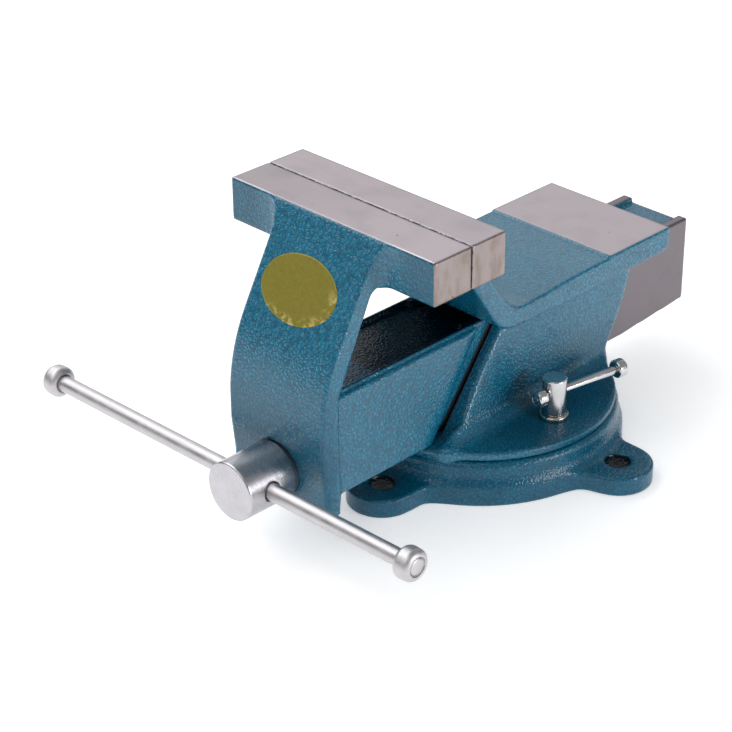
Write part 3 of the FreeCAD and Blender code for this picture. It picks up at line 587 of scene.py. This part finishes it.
def ground(look, tint, ends):
    """Bare steel left by a grinding wheel, with casting pits; ends marks the jaws' stained end faces."""
    flat_lines = look.noise(1.0, 4.0, look.stretch((0.02, 1.4, 1.4)), 0.7)
    end_lines = look.noise(1.0, 3.0, look.stretch((1.0, 1.3, 0.04)), 0.7)
    lines = look.mix(ends, flat_lines, end_lines)
    cloud = look.noise(0.05, 3.0)
    pits = look.cells(0.085, "F1", look.warped(0.3, 2.0))
    pits = look.math("MULTIPLY", look.ramp(pits, 0.03, 0.07, 1.0, 0.0), look.ramp(look.noise(0.12), 0.4, 0.6))
    # the top faces darken along the seam where the two jaws meet
    from_seam = look.math("ABSOLUTE", look.math("ADD", look.y, -(HEAD_REAR + FIXED_FRONT) / 2))
    from_seam = look.math("ADD", from_seam, look.math("MULTIPLY", look.noise(0.3, 3.0), 0.9))
    pits = look.math("MAXIMUM", pits, look.ramp(from_seam, 0.7, 1.15, 1.0, 0.0))
    shade = look.math("ADD", look.ramp(lines, 0.3, 0.75, 0.12, 0.0), look.ramp(cloud, 0.45, 0.75, 0.0, 0.1))
    colour = look.mix(shade, tint, GRINDING_DUST)
    stains = look.ramp(look.noise(0.16, 4.0, look.stretch((1.0, 1.0, 0.5))), 0.42, 0.68, 0.0, 0.5)
    colour = look.mix(look.math("MULTIPLY", stains, ends), colour, END_STAIN)
    colour = look.mix(pits, colour, PIT)
    rough = look.math("ADD", look.ramp(lines, 0.2, 0.8, 0.33, 0.46), look.math("MULTIPLY", pits, 0.4))
    height = look.math("SUBTRACT", look.math("MULTIPLY", lines, 0.35), pits)
    return colour, rough, height


def casting_material(name, areas):
    """Hammered paint. areas gives bare steel's mask and tint, and the masks for painted shade and the ends.
    """
    look = Look(name)
    bare, tint, shade, ends = areas(look)
    colour, rough, height = hammered(look, shade)
    if bare is None:
        return look.set(Base_Color=colour, Roughness=rough, Specular_IOR_Level=0.45,
                        Normal=look.bump(height, 0.65, 0.2))
    steel, steel_rough, steel_height = ground(look, tint, ends)
    both = look.mix(bare, height, look.math("MULTIPLY", steel_height, 0.2))
    return look.set(
        Base_Color=look.mix(bare, colour, steel),
        Roughness=look.mix(bare, rough, steel_rough),
        Metallic=bare,
        Specular_IOR_Level=look.mix(shade, 0.75, 0.2),
        Normal=look.bump(both, 0.65, 0.2),
    )


def over(look, value, limit, wobble=0.0, width=0.12):
    """1 where value is above limit, with an edge that wanders by wobble millimetres."""
    if wobble:
        drift = look.math("MULTIPLY", look.math("SUBTRACT", look.noise(0.5, 3.0), 0.5), 2 * wobble)
        value = look.math("ADD", value, drift)
    return look.ramp(value, limit - width, limit + width)


def either(look, *masks):
    out = masks[0]
    for mask in masks[1:]:
        out = look.math("MAXIMUM", out, mask)
    return out


def both_of(look, *masks):
    out = masks[0]
    for mask in masks[1:]:
        out = look.math("MULTIPLY", out, mask)
    return out


def jaw_areas(look):
    """Ground top, ends, face and slide; painted shade in the box, on the ears and low on the plate."""
    ax = look.math("ABSOLUTE", look.x)
    top = over(look, look.z, JAW_TOP - 0.16, 0.1, 0.08)
    ends = over(look, ax, JAW_HALF - 0.7, 0.3)
    face = both_of(look, over(look, look.y, HEAD_REAR - 0.5), over(look, look.z, HEAD_FOOT - 4.0))
    behind = look.math("SUBTRACT", look.y, look.math("MULTIPLY", look.z, SHOULDER_LEAN))
    behind = over(look, behind, SHOULDER_FOOT_Y - SHOULDER_LEAN * SLIDE_BOTTOM + 1.6, 0.4)
    outer = over(look, ax, SLIDE_HALF - RAIL_WIDTH + 0.5)
    from_top = look.math("ABSOLUTE", look.math("SUBTRACT", look.z, SLIDE_TOP))
    lip = look.math("SUBTRACT", 1.0, from_top)
    lips = both_of(look, over(look, lip, 0.3, 0.3), over(look, ax, SLIDE_HALF - LIP_WIDTH),
                   over(look, look.y, SHOULDER_TOP_Y, 0.5, 0.5))
    end = over(look, look.y, SLIDE_END - 0.5)
    # painted reflection: the ground top is tinted darker towards the left end and lighter towards the right
    top_steel_painted_reflection = look.mix(look.ramp(look.x, -72.0, 66.0), scaled(TOP_STEEL, 0.86), scaled(TOP_STEEL, 1.07))
    tint = look.mix(top, look.mix(ends, SLIDE_STEEL, END_STEEL), top_steel_painted_reflection)
    # painted shade on the box's floor under the jaws, near-black painted shadow towards the fixed jaw's neck
    box_floor_painted_shade = both_of(
        look,
        over(look, look.z, SLIDE_TOP - RAIL_HEIGHT - 1.0, 0.0, 0.4),
        look.ramp(look.z, SLIDE_TOP + 1.0, SLIDE_TOP + 12.0, 1.0, 0.0),
        look.ramp(look.y, -113.0, -96.0, 0.7, 1.0),
        look.ramp(look.y, -20.0, 40.0, 1.0, 0.35),
        look.ramp(ax, SLIDE_HALF - 0.8, SLIDE_HALF + 0.4, 1.0, 0.0),
        over(look, look.y, PLATE_REAR_Y + 1.0, 0.0, 0.8),
    )
    # painted shade on the head's outer parts, the ears
    ears = both_of(look, look.ramp(ax, 44.0, 60.0, 0.0, 0.45), over(look, look.z, HEAD_FOOT - 3.0, 0.0, 3.0))
    # painted shade low on the plate's front
    front = look.ramp(look.y, -152.0, -143.0, 1.0, 0.0)
    low_plate_painted_shade = both_of(look, look.ramp(look.z, 44.0, 125.0, 0.55, 0.0), front)
    bare = either(look, top, ends, face, both_of(look, behind, outer), lips, end)
    return bare, tint, either(look, box_floor_painted_shade, ears, low_plate_painted_shade), ends


def body_areas(look):
    """Ground top, ends, anvil and face; painted shade low on the walls and in the throat."""
    ax = look.math("ABSOLUTE", look.x)
    top = over(look, look.z, JAW_TOP - 0.16, 0.1, 0.08)
    ends = both_of(look, over(look, ax, JAW_HALF - 0.7, 0.3), over(look, look.z, HEAD_FOOT - 2.0))
    anvil_level = over(look, look.z, ANVIL_TOP - 0.14, 0.08, 0.08)
    anvil = both_of(look, over(look, look.y, ANVIL_FRONT - 0.4), anvil_level)
    ahead = look.math("MULTIPLY", look.y, -1.0)
    face = both_of(look, over(look, ahead, -FIXED_FRONT - 0.5), over(look, look.z, HEAD_FOOT - 1.0))
    tint = look.mix(ends, TOP_STEEL, END_STEEL)
    # painted shade low on the walls, weak near their front edge
    uneven = look.math("ADD", look.z, look.math("MULTIPLY", look.noise(0.1), 12.0))
    low = look.ramp(uneven, 40.0, 76.0, 0.62, 0.0)
    forward = look.ramp(look.y, -52.0, -18.0, 0.1, 1.0)
    # painted shadow on the neck's front in the throat under the fixed jaw, near black at its deepest
    throat = both_of(look, look.ramp(look.y, -64.0, -46.0, 0.92, 0.0), look.ramp(look.z, 80.0, 92.0),
                     look.ramp(look.z, 142.0, 151.0, 1.0, 0.0))
    bare = either(look, top, ends, anvil, face)
    return bare, tint, either(look, both_of(look, low, forward), throat), ends


def base_areas(look):
    """Painted all over, with painted shade over the whole base and painted shadow in the bolt holes."""
    # painted shade over the whole base, varying at random between 0.45 and 0.65
    shade = look.ramp(look.noise(0.05), 0.35, 0.65, 0.45, 0.65)
    # painted shadow down the walls of the bolt holes
    for cx, cy in LUG_CENTRES:
        away = look.length(look.math("SUBTRACT", look.x, cx), look.math("SUBTRACT", look.y, cy))
        shade = either(look, shade, look.ramp(away, LUG_HOLE + 0.3, LUG_HOLE + 1.0, 1.0, 0.0))
    return None, None, shade, None


def metal(name, tint, rough, line_scale, line_bump=0.1, spots=0.0):
    """Turned or drawn steel: fine lines along line_scale's short axis, faint clouding and stains."""
    look = Look(name)
    lines = look.noise(1.0, 3.0, look.stretch(line_scale), 0.65)
    cloud = look.noise(0.09, 4.0)
    colour = look.mix(look.ramp(cloud, 0.35, 0.7), scaled(tint, 0.88), tint)
    colour = look.mix(look.math("MULTIPLY", look.ramp(lines, 0.55, 0.8), 0.25), colour, scaled(tint, 0.7))
    if spots:
        dots = look.ramp(look.cells(0.22, "F1", look.warped(0.6, 1.5)), 0.03, 0.07, spots, 0.0)
        colour = look.mix(dots, colour, (0.06, 0.05, 0.045))
    wear = look.math("ADD", look.math("MULTIPLY", lines, 0.5), look.math("MULTIPLY", cloud, 0.5))
    roughness = look.ramp(wear, 0.3, 0.7, rough * 0.8, rough * 1.25)
    return look.set(Base_Color=colour, Metallic=1.0, Roughness=roughness,
                    Normal=look.bump(lines, line_bump, 0.05))


def foil_material():
    """Matt gold foil with bright flecks along its right and lower rim."""
    look = Look("gold_foil")
    grain = look.noise(0.6, 4.0)
    cloud = look.noise(0.08, 2.0)
    colour = look.mix(look.ramp(grain, 0.3, 0.7), (0.228, 0.198, 0.027), (0.272, 0.234, 0.033))
    across = look.math("DIVIDE", look.math("ADD", look.x, -LABEL_X), LABEL_HALF[0])
    rise = look.math("DIVIDE", look.math("ADD", look.z, -LABEL_Z), LABEL_HALF[1] * 0.875)
    out = look.length(across, rise)
    lean = look.math("SUBTRACT", look.math("MULTIPLY", across, 0.75), rise)
    flecks = look.ramp(look.noise(0.28, 3.0, look.warped(0.5, 2.0)), 0.49, 0.58)
    rim_flecks = both_of(look, flecks, look.ramp(out, 0.7, 0.9), look.ramp(lean, 0.0, 0.7))
    colour = look.mix(rim_flecks, colour, (0.62, 0.50, 0.17))
    rough = look.math("SUBTRACT", look.ramp(grain, 0.3, 0.7, 0.36, 0.46), look.math("MULTIPLY", rim_flecks, 0.12))
    colour = look.mix(look.math("MULTIPLY", cloud, 0.3), colour, (0.27, 0.22, 0.035))
    return look.set(Base_Color=colour, Metallic=0.3, Roughness=rough, Specular_IOR_Level=0.35,
                    Normal=look.bump(look.noise(0.35, 3.0), 0.3, 0.2))


def iron_material():
    """As-cast iron with a coarse grain."""
    look = Look("cast_iron")
    grain = look.noise(0.9, 5.0, roughness=0.7)
    colour = look.mix(look.ramp(grain, 0.3, 0.7), (0.045, 0.045, 0.05), (0.12, 0.118, 0.12))
    return look.set(Base_Color=colour, Metallic=0.7, Roughness=look.ramp(grain, 0.3, 0.7, 0.5, 0.7),
                    Normal=look.bump(grain, 0.5, 0.3))


JAW_PAINT = casting_material("jaw_paint", jaw_areas)
BODY_PAINT = casting_material("body_paint", body_areas)
BASE_PAINT = casting_material("base_paint", base_areas)
TURNED = metal("turned_steel", (0.56, 0.545, 0.57), 0.28, (0.05, 3.2, 0.05), 0.25, spots=0.7)
POLISHED = metal("polished_steel", (0.66, 0.655, 0.66), 0.17, (0.25, 1.2, 1.2), 0.08, spots=0.35)
SATIN = metal("satin_steel", (0.60, 0.58, 0.59), 0.43, (0.05, 1.6, 1.6), 0.12, spots=0.3)
PLATED = metal("plated_steel", (0.60, 0.58, 0.52), 0.18, (1.0, 1.0, 1.0), 0.08)
MACHINED = metal("machined_steel", (0.42, 0.41, 0.40), 0.34, (0.6, 0.6, 0.6), 0.2)
FOIL = foil_material()
IRON = iron_material()

# ------------------------------------------------------------ the pieces

for node, field, body, material in (
    ("moving_jaw", moving_jaw_field, "jaw", JAW_PAINT),
    ("vise_body", body_field, "body", BODY_PAINT),
    ("swivel_base", base_field, "base", BASE_PAINT),
):
    low, high = (np.array(corner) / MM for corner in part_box(node))
    pitch = CASTING_PITCH
    netted(node + "_casting", field, low, high, pitch, body, material, [node])

TILT = math.radians(HANDLE_TILT)
handle_way = (math.cos(TILT), 0, math.sin(TILT))
handle_centre = Vector((0, HANDLE_Y, SCREW_Z))


def on_handle(along, facing=1):
    """Frame on the handle's axis at a distance from the screw's axis."""
    return frame_along(handle_centre + Vector(handle_way) * along, [facing * c for c in handle_way])


handle_start = HANDLE_X - HANDLE_LENGTH / 2
handle_end = HANDLE_X + HANDLE_LENGTH / 2
ROD = bar_profile(HANDLE_LENGTH, [(0, 0), (0.35, 3.9), (0.8, HANDLE_RADIUS - 0.05), (2.0, HANDLE_RADIUS)])
turned("handle_rod", ROD, on_handle(handle_start), "handle", SATIN, ["handle_bar"], r=0.3)

CAP = [(2.4, 4.8), (1.85, 5.3)] + arc((5.2, 5.4), 3.7, 170, 90, 9) + arc((8.72, 5.2), 3.8, 90, 12, 9)
CAP += [(12.42, 5.9), (12.34, 5.55), (11.6, 5.3), (11.2, 4.78)]
for name, along, facing in (("right", handle_end - CAP_LENGTH, 1), ("left", handle_start + CAP_LENGTH, -1)):
    place = on_handle(along, facing)
    turned("handle_knob_" + name, CAP, place, "handle", SATIN,
           ["handle_cap_" + name], r=0.25)


def screw_head_field(x, y, z):
    """The screw's round head with the tilted hole that the handle slides in."""
    radius = np.sqrt(x * x + (z - SCREW_Z) ** 2)
    solid = np.maximum(rounded([radius - HEAD_RADIUS, HEAD_START - y], 0.9), y - HEAD_END)
    rise = -math.sin(TILT) * x + math.cos(TILT) * (z - SCREW_Z)
    hole = np.sqrt((y - HANDLE_Y) ** 2 + rise ** 2)
    return smax(solid, HANDLE_HOLE - hole, 0.8)


def screw_shaft():
    """A right-hand trapezoidal thread, drawn along its helix and cut square at both ends."""
    around = 48
    start, end = THREAD_START, SCREW_END - 1.0
    # one pitch of the outline: how far along, and 0 at the root or 1 at the crest
    fractions = [0.0, 0.1, 0.3, 0.5, 0.6, 0.7, 0.85, 0.95]
    depths = [1.0, 0.0, 0.0, 0.0, 1.0, 1.0, 1.0, 1.0]
    steps = len(fractions)
    turns = int((end - start) / PITCH) + 2
    root = SCREW_RADIUS - THREAD_DEPTH
    points = []
    faces = []
    for j in range(around):
        turn = 2 * math.pi * j / around
        for i in range(turns * steps):
            y = start - PITCH + (i // steps + fractions[i % steps] + j / around) * PITCH
            radius = root + THREAD_DEPTH * depths[i % steps]
            if y < start:
                y, radius = start, min(radius, root)
            if y > end:
                y, radius = end, min(radius, root)
            points.append((radius * math.sin(turn), y, SCREW_Z + radius * math.cos(turn)))
    rows = turns * steps
    for j in range(around):
        for i in range(rows - 1):
            a, b = j * rows + i, j * rows + i + 1
            if j < around - 1:
                faces.append([a, b, b + rows, a + rows])
            elif i + 1 + steps < rows:
                # the last column meets the first one pitch further on
                faces.append([a, b, i + 1 + steps, i + steps])
    return points, faces


low = np.array([-HEAD_RADIUS, HEAD_START, SCREW_Z - HEAD_RADIUS])
high = np.array([HEAD_RADIUS, HEAD_END, SCREW_Z + HEAD_RADIUS])
netted("screw_head", screw_head_field, low, high, HEAD_PITCH, "screw", TURNED,
       ["lead_screw"])
points, faces = screw_shaft()
make_mesh("screw_thread", points, faces, "screw", MACHINED)
JOURNAL = [(0, 9.0), (0, SCREW_RADIUS), (29.5, SCREW_RADIUS), (30.4, 8.3), (30.5, 0)]
place = frame_along((0, HEAD_END - 1.0, SCREW_Z), (0, 1, 0))
turned("screw_journal", JOURNAL, place, "screw", MACHINED)
TIP = [(0, 0), (0, TIP_RADIUS), (TIP_LENGTH - 0.8, TIP_RADIUS)]
TIP += [(TIP_LENGTH, TIP_RADIUS - 1.0), (TIP_LENGTH, 0)]
place = frame_along((0, SCREW_END - TIP_LENGTH, SCREW_Z), (0, 1, 0))
turned("screw_tip", TIP, place, "screw", MACHINED)


def lock_head_field(centre, way):
    """The bolt's round head with the hole its tommy bar slides in."""
    def field(x, y, z):
        u, v = x - centre[0], y - centre[1]
        height = slab(z, LOCK_HEAD_FOOT, LOCK_HEAD_TOP)
        solid = rounded([np.sqrt(u * u + v * v) - LOCK_HEAD_RADIUS, height], 0.7)
        bar = np.sqrt((v * way[0] - u * way[1]) ** 2 + (z - LOCK_BAR_Z) ** 2)
        return smax(solid, LOCK_BAR_HOLE - bar, 0.7)

    return field


SHANK = [(LOCK_SHANK_FOOT, 0), (LOCK_SHANK_FOOT, LOCK_SHANK_RADIUS - 0.7)]
SHANK += [(LOCK_SHANK_FOOT + 0.8, LOCK_SHANK_RADIUS), (LOCK_SHANK_TOP, LOCK_SHANK_RADIUS)]
SHANK += [(LOCK_SHANK_TOP, 0)]
COLLAR_FOOT, COLLAR_TOP = FLANGE_TOP + 0.02, FLANGE_TOP + 2.8
COLLAR = [(COLLAR_FOOT, 5.2), (COLLAR_FOOT, 8.0), (COLLAR_FOOT + 0.48, 8.5)]
COLLAR += [(COLLAR_TOP - 0.6, 8.5), (COLLAR_TOP, 7.9), (COLLAR_TOP, 5.2)]
LOCK_ROD_END = [(0, 0), (0.3, LOCK_BAR_RADIUS - 0.4), (0.8, LOCK_BAR_RADIUS)]
LOCK_ROD = bar_profile(LOCK_BAR_END - LOCK_BAR_START, LOCK_ROD_END)
KNOB = [(0.4, LOCK_BAR_RADIUS), (0.1, 3.0)]
KNOB += arc((1.7, 3.7), 1.7, 175, 90, 7) + arc((5.1, 3.9), 1.5, 90, 5, 7)
KNOB += [(LOCK_CAP_LENGTH, 3.5), (LOCK_CAP_LENGTH - 0.08, 2.6), (LOCK_CAP_LENGTH - 0.3, LOCK_BAR_RADIUS)]


def swivel_lock(side, name):
    """Bolt, washer and small bar with its two knobs; side is 1 on the right and -1 on the left."""
    centre = Vector((side * LOCK_X, LOCK_Y, 0))
    angle = math.radians(LOCK_ANGLE)
    way = (side * math.cos(angle), math.sin(angle), 0)
    up = frame_along(centre, (0, 0, 1))
    bolt, handle = "lock_" + name, "lock_handle_" + name
    low = np.array([centre.x - LOCK_HEAD_RADIUS, centre.y - LOCK_HEAD_RADIUS, LOCK_HEAD_FOOT])
    high = np.array([centre.x + LOCK_HEAD_RADIUS, centre.y + LOCK_HEAD_RADIUS, LOCK_HEAD_TOP])
    netted("lock_head_" + name, lock_head_field(centre, way), low, high, LOCK_PITCH, bolt,
           POLISHED, ["lock_bolt_" + name])
    turned("lock_shank_" + name, SHANK, up, bolt, POLISHED, segments=56, r=0.35)
    turned("lock_collar_" + name, COLLAR, up, "body", PLATED, ["lock_washer_" + name], 56)
    bar_foot = centre + Vector((0, 0, LOCK_BAR_Z))
    place = frame_along(bar_foot + Vector(way) * LOCK_BAR_START, way)
    turned("lock_rod_" + name, LOCK_ROD, place, handle, POLISHED,
           ["lock_bar_" + name], 40, 0.3)
    near, far = LOCK_BAR_START + LOCK_CAP_LENGTH, LOCK_BAR_END - LOCK_CAP_LENGTH
    for end, reach, facing in (("near", near, -1), ("far", far, 1)):
        place = frame_along(bar_foot + Vector(way) * reach, [facing * c for c in way])
        turned(f"lock_knob_{name}_{end}", KNOB, place, handle, POLISHED,
               [f"lock_cap_{name}_{end}"], 48, 0.25)


swivel_lock(1, "right")
swivel_lock(-1, "left")

# CAD pieces that keep their own shape and only get a finish
for node, material in {
    "thrust_washer": MACHINED,
    "retaining_collar": MACHINED,
    "collar_pin": MACHINED,
    "screw_nut": IRON,
    "nut_bolt": MACHINED,
    "nut_washer": PLATED,
    "lock_nut_right": MACHINED,
    "lock_nut_left": MACHINED,
}.items():
    for material_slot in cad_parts[node].material_slots:
        material_slot.link = "OBJECT"
        material_slot.material = material


def label_piece():
    """Oval foil on the plate's flank, wrinkled and lifting a little at its rim."""
    rng = np.random.default_rng(7)
    across = np.array([1.0, 0, 0])
    upward = np.array([0, math.sin(FLANK), math.cos(FLANK)])
    outward = np.array([0, -math.cos(FLANK), math.sin(FLANK)])
    drop = (JAW_TOP - LABEL_Z) * math.tan(FLANK)
    centre = np.array([LABEL_X, HEAD_FRONT - drop, LABEL_Z])
    half_width, half_height = across * LABEL_HALF[0], upward * LABEL_HALF[1]
    rings, around = 26, 120
    thickness, rim_start, skirt_depth = 0.16, 0.72, 0.15
    turns = [2 * math.pi * j / around for j in range(around)]
    points = [centre + outward * thickness]
    waves = [(rng.integers(5, 19), rng.uniform(0, 6.28), rng.uniform(0.03, 0.09)) for _ in range(7)]
    for i in range(1, rings + 1):
        share = i / rings
        rim = max(0.0, (share - rim_start) / (1 - rim_start)) ** 1.5
        for turn in turns:
            spot = centre + share * (half_width * math.cos(turn) + half_height * math.sin(turn))
            lift = sum(a * math.sin(n * turn + p) for n, p, a in waves) * rim
            side = 0.35 + 0.65 * max(0.0, math.cos(turn + 0.5))
            ripple = 0.02 * math.sin(share * 9 + turn * 3)
            points.append(spot + outward * (thickness + max(-0.1, lift * side * 1.6) + ripple))
    # a skirt carries the rim down into the plate
    inner_width, inner_height = across * (LABEL_HALF[0] - 0.1), upward * (LABEL_HALF[1] - 0.1)
    for turn in turns:
        spot = centre + inner_width * math.cos(turn) + inner_height * math.sin(turn)
        points.append(spot - outward * skirt_depth)
    faces = [[0, 1 + j, 1 + (j + 1) % around] for j in range(around)]
    for i in range(rings):
        a, b = 1 + i * around, 1 + (i + 1) * around
        faces += [[a + j, b + j, b + (j + 1) % around, a + (j + 1) % around] for j in range(around)]
    return points, faces


points, faces = label_piece()
make_mesh("label_foil", points, faces, "jaw", FOIL, ["label"])

# ------------------------------------------------------------ stage, light and camera

def pale_floor():
    """A plain floor that glows a little, so that it stays white under the object."""
    reach = 30
    corners = [(-reach, -reach, 0), (reach, -reach, 0), (reach, reach, 0), (-reach, reach, 0)]
    mesh = bpy.data.meshes.new("floor")
    mesh.from_pydata(corners, [], [[0, 1, 2, 3]])
    plane = bpy.data.objects.new("floor", mesh)
    bpy.context.scene.collection.objects.link(plane)
    pale = Look("floor_pale")
    tone = pale.mix(pale.noise(0.004, 2.0), (0.93, 0.93, 0.935), (0.95, 0.95, 0.95))
    mesh.materials.append(pale.set(Base_Color=tone, Roughness=0.9, Specular_IOR_Level=0.1,
                                   Emission_Color=(1.0, 1.0, 1.0), Emission_Strength=0.42))
    return plane


def soft_light(name, place, target, size, power, colour=(1.0, 1.0, 1.0)):
    data = bpy.data.lights.new(name, "AREA")
    data.shape = "RECTANGLE"
    data.size, data.size_y = size
    data.energy = power
    data.color = colour
    lamp = bpy.data.objects.new(name, data)
    lamp.location = place
    lamp.rotation_euler = (Vector(target) - Vector(place)).to_track_quat("-Z", "Y").to_euler()
    bpy.context.scene.collection.objects.link(lamp)


def studio_world(stops):
    """Grey surroundings whose level follows the height of the direction; stops are (height, level)."""
    world = bpy.data.worlds.new("studio")
    bpy.context.scene.world = world
    world.use_nodes = True
    nodes, links = world.node_tree.nodes, world.node_tree.links
    nodes.clear()
    direction = nodes.new("ShaderNodeTexCoord")
    split = nodes.new("ShaderNodeSeparateXYZ")
    ramp = nodes.new("ShaderNodeValToRGB")
    sky = nodes.new("ShaderNodeBackground")
    result = nodes.new("ShaderNodeOutputWorld")
    links.new(direction.outputs["Generated"], split.inputs[0])
    links.new(split.outputs["Z"], ramp.inputs["Fac"])
    links.new(ramp.outputs["Color"], sky.inputs["Color"])
    links.new(sky.outputs["Background"], result.inputs["Surface"])
    ramp.color_ramp.elements[0].position = stops[0][0]
    ramp.color_ramp.elements[1].position = stops[-1][0]
    for position, _ in stops[1:-1]:
        ramp.color_ramp.elements.new(position)
    for element, (_, level) in zip(ramp.color_ramp.elements, stops):
        element.color = (level, level, level * 1.01, 1)
    sky.inputs["Strength"].default_value = 1.0


def place_camera(azimuth, elevation, roll, target, distance, lens):
    """Camera that looks at target; azimuth is measured from the front (-Y) towards the right (+X)."""
    azimuth, elevation, roll = math.radians(azimuth), math.radians(elevation), math.radians(roll)
    level = math.cos(elevation)
    back = Vector((math.sin(azimuth) * level, -math.cos(azimuth) * level, math.sin(elevation)))
    right = Vector((math.cos(azimuth), math.sin(azimuth), 0))
    upward = back.cross(right)
    rolled_right = math.cos(roll) * right + math.sin(roll) * upward
    rolled_upward = -math.sin(roll) * right + math.cos(roll) * upward
    data = bpy.data.cameras.new("camera")
    data.sensor_width = 36.0
    data.lens = lens
    data.clip_start, data.clip_end = 0.05, 200.0
    camera = bpy.data.objects.new("camera", data)
    bpy.context.scene.collection.objects.link(camera)
    turn = Matrix((rolled_right, rolled_upward, back)).transposed()
    camera.matrix_world = Matrix.Translation(Vector(target) + back * distance) @ turn.to_4x4()
    bpy.context.scene.camera = camera


floor = pale_floor()
COOL = (0.97, 0.985, 1.0)
soft_light("panel_back_left", (-1.36, 1.36, 1.15), (0, 0, 0.1), (2.4, 1.7), 9.5, COOL)
soft_light("key_left", (-1.25, -0.3, 1.65), (0, 0, 0.08), (1.8, 1.6), 20.0, COOL)
soft_light("fill_front", (-0.1, -1.35, 1.8), (0, -0.05, 0.08), (2.0, 1.3), 13.0)
soft_light("side_right", (1.6, 0.3, 0.4), (0, -0.05, 0.06), (0.8, 0.5), 10.0, (0.96, 0.98, 1.0))
studio_world([(0.0, 0.16), (0.24, 0.2), (0.42, 0.34), (0.6, 0.36), (1.0, 0.3)])
place_camera(45.28003, 29.10257, -0.52303, (0.0, -0.0900056, 0.0775511), distance=1.22297, lens=111.136)
bpy.context.scene.view_settings.view_transform = "Standard"
bpy.context.scene.view_settings.look = "None"
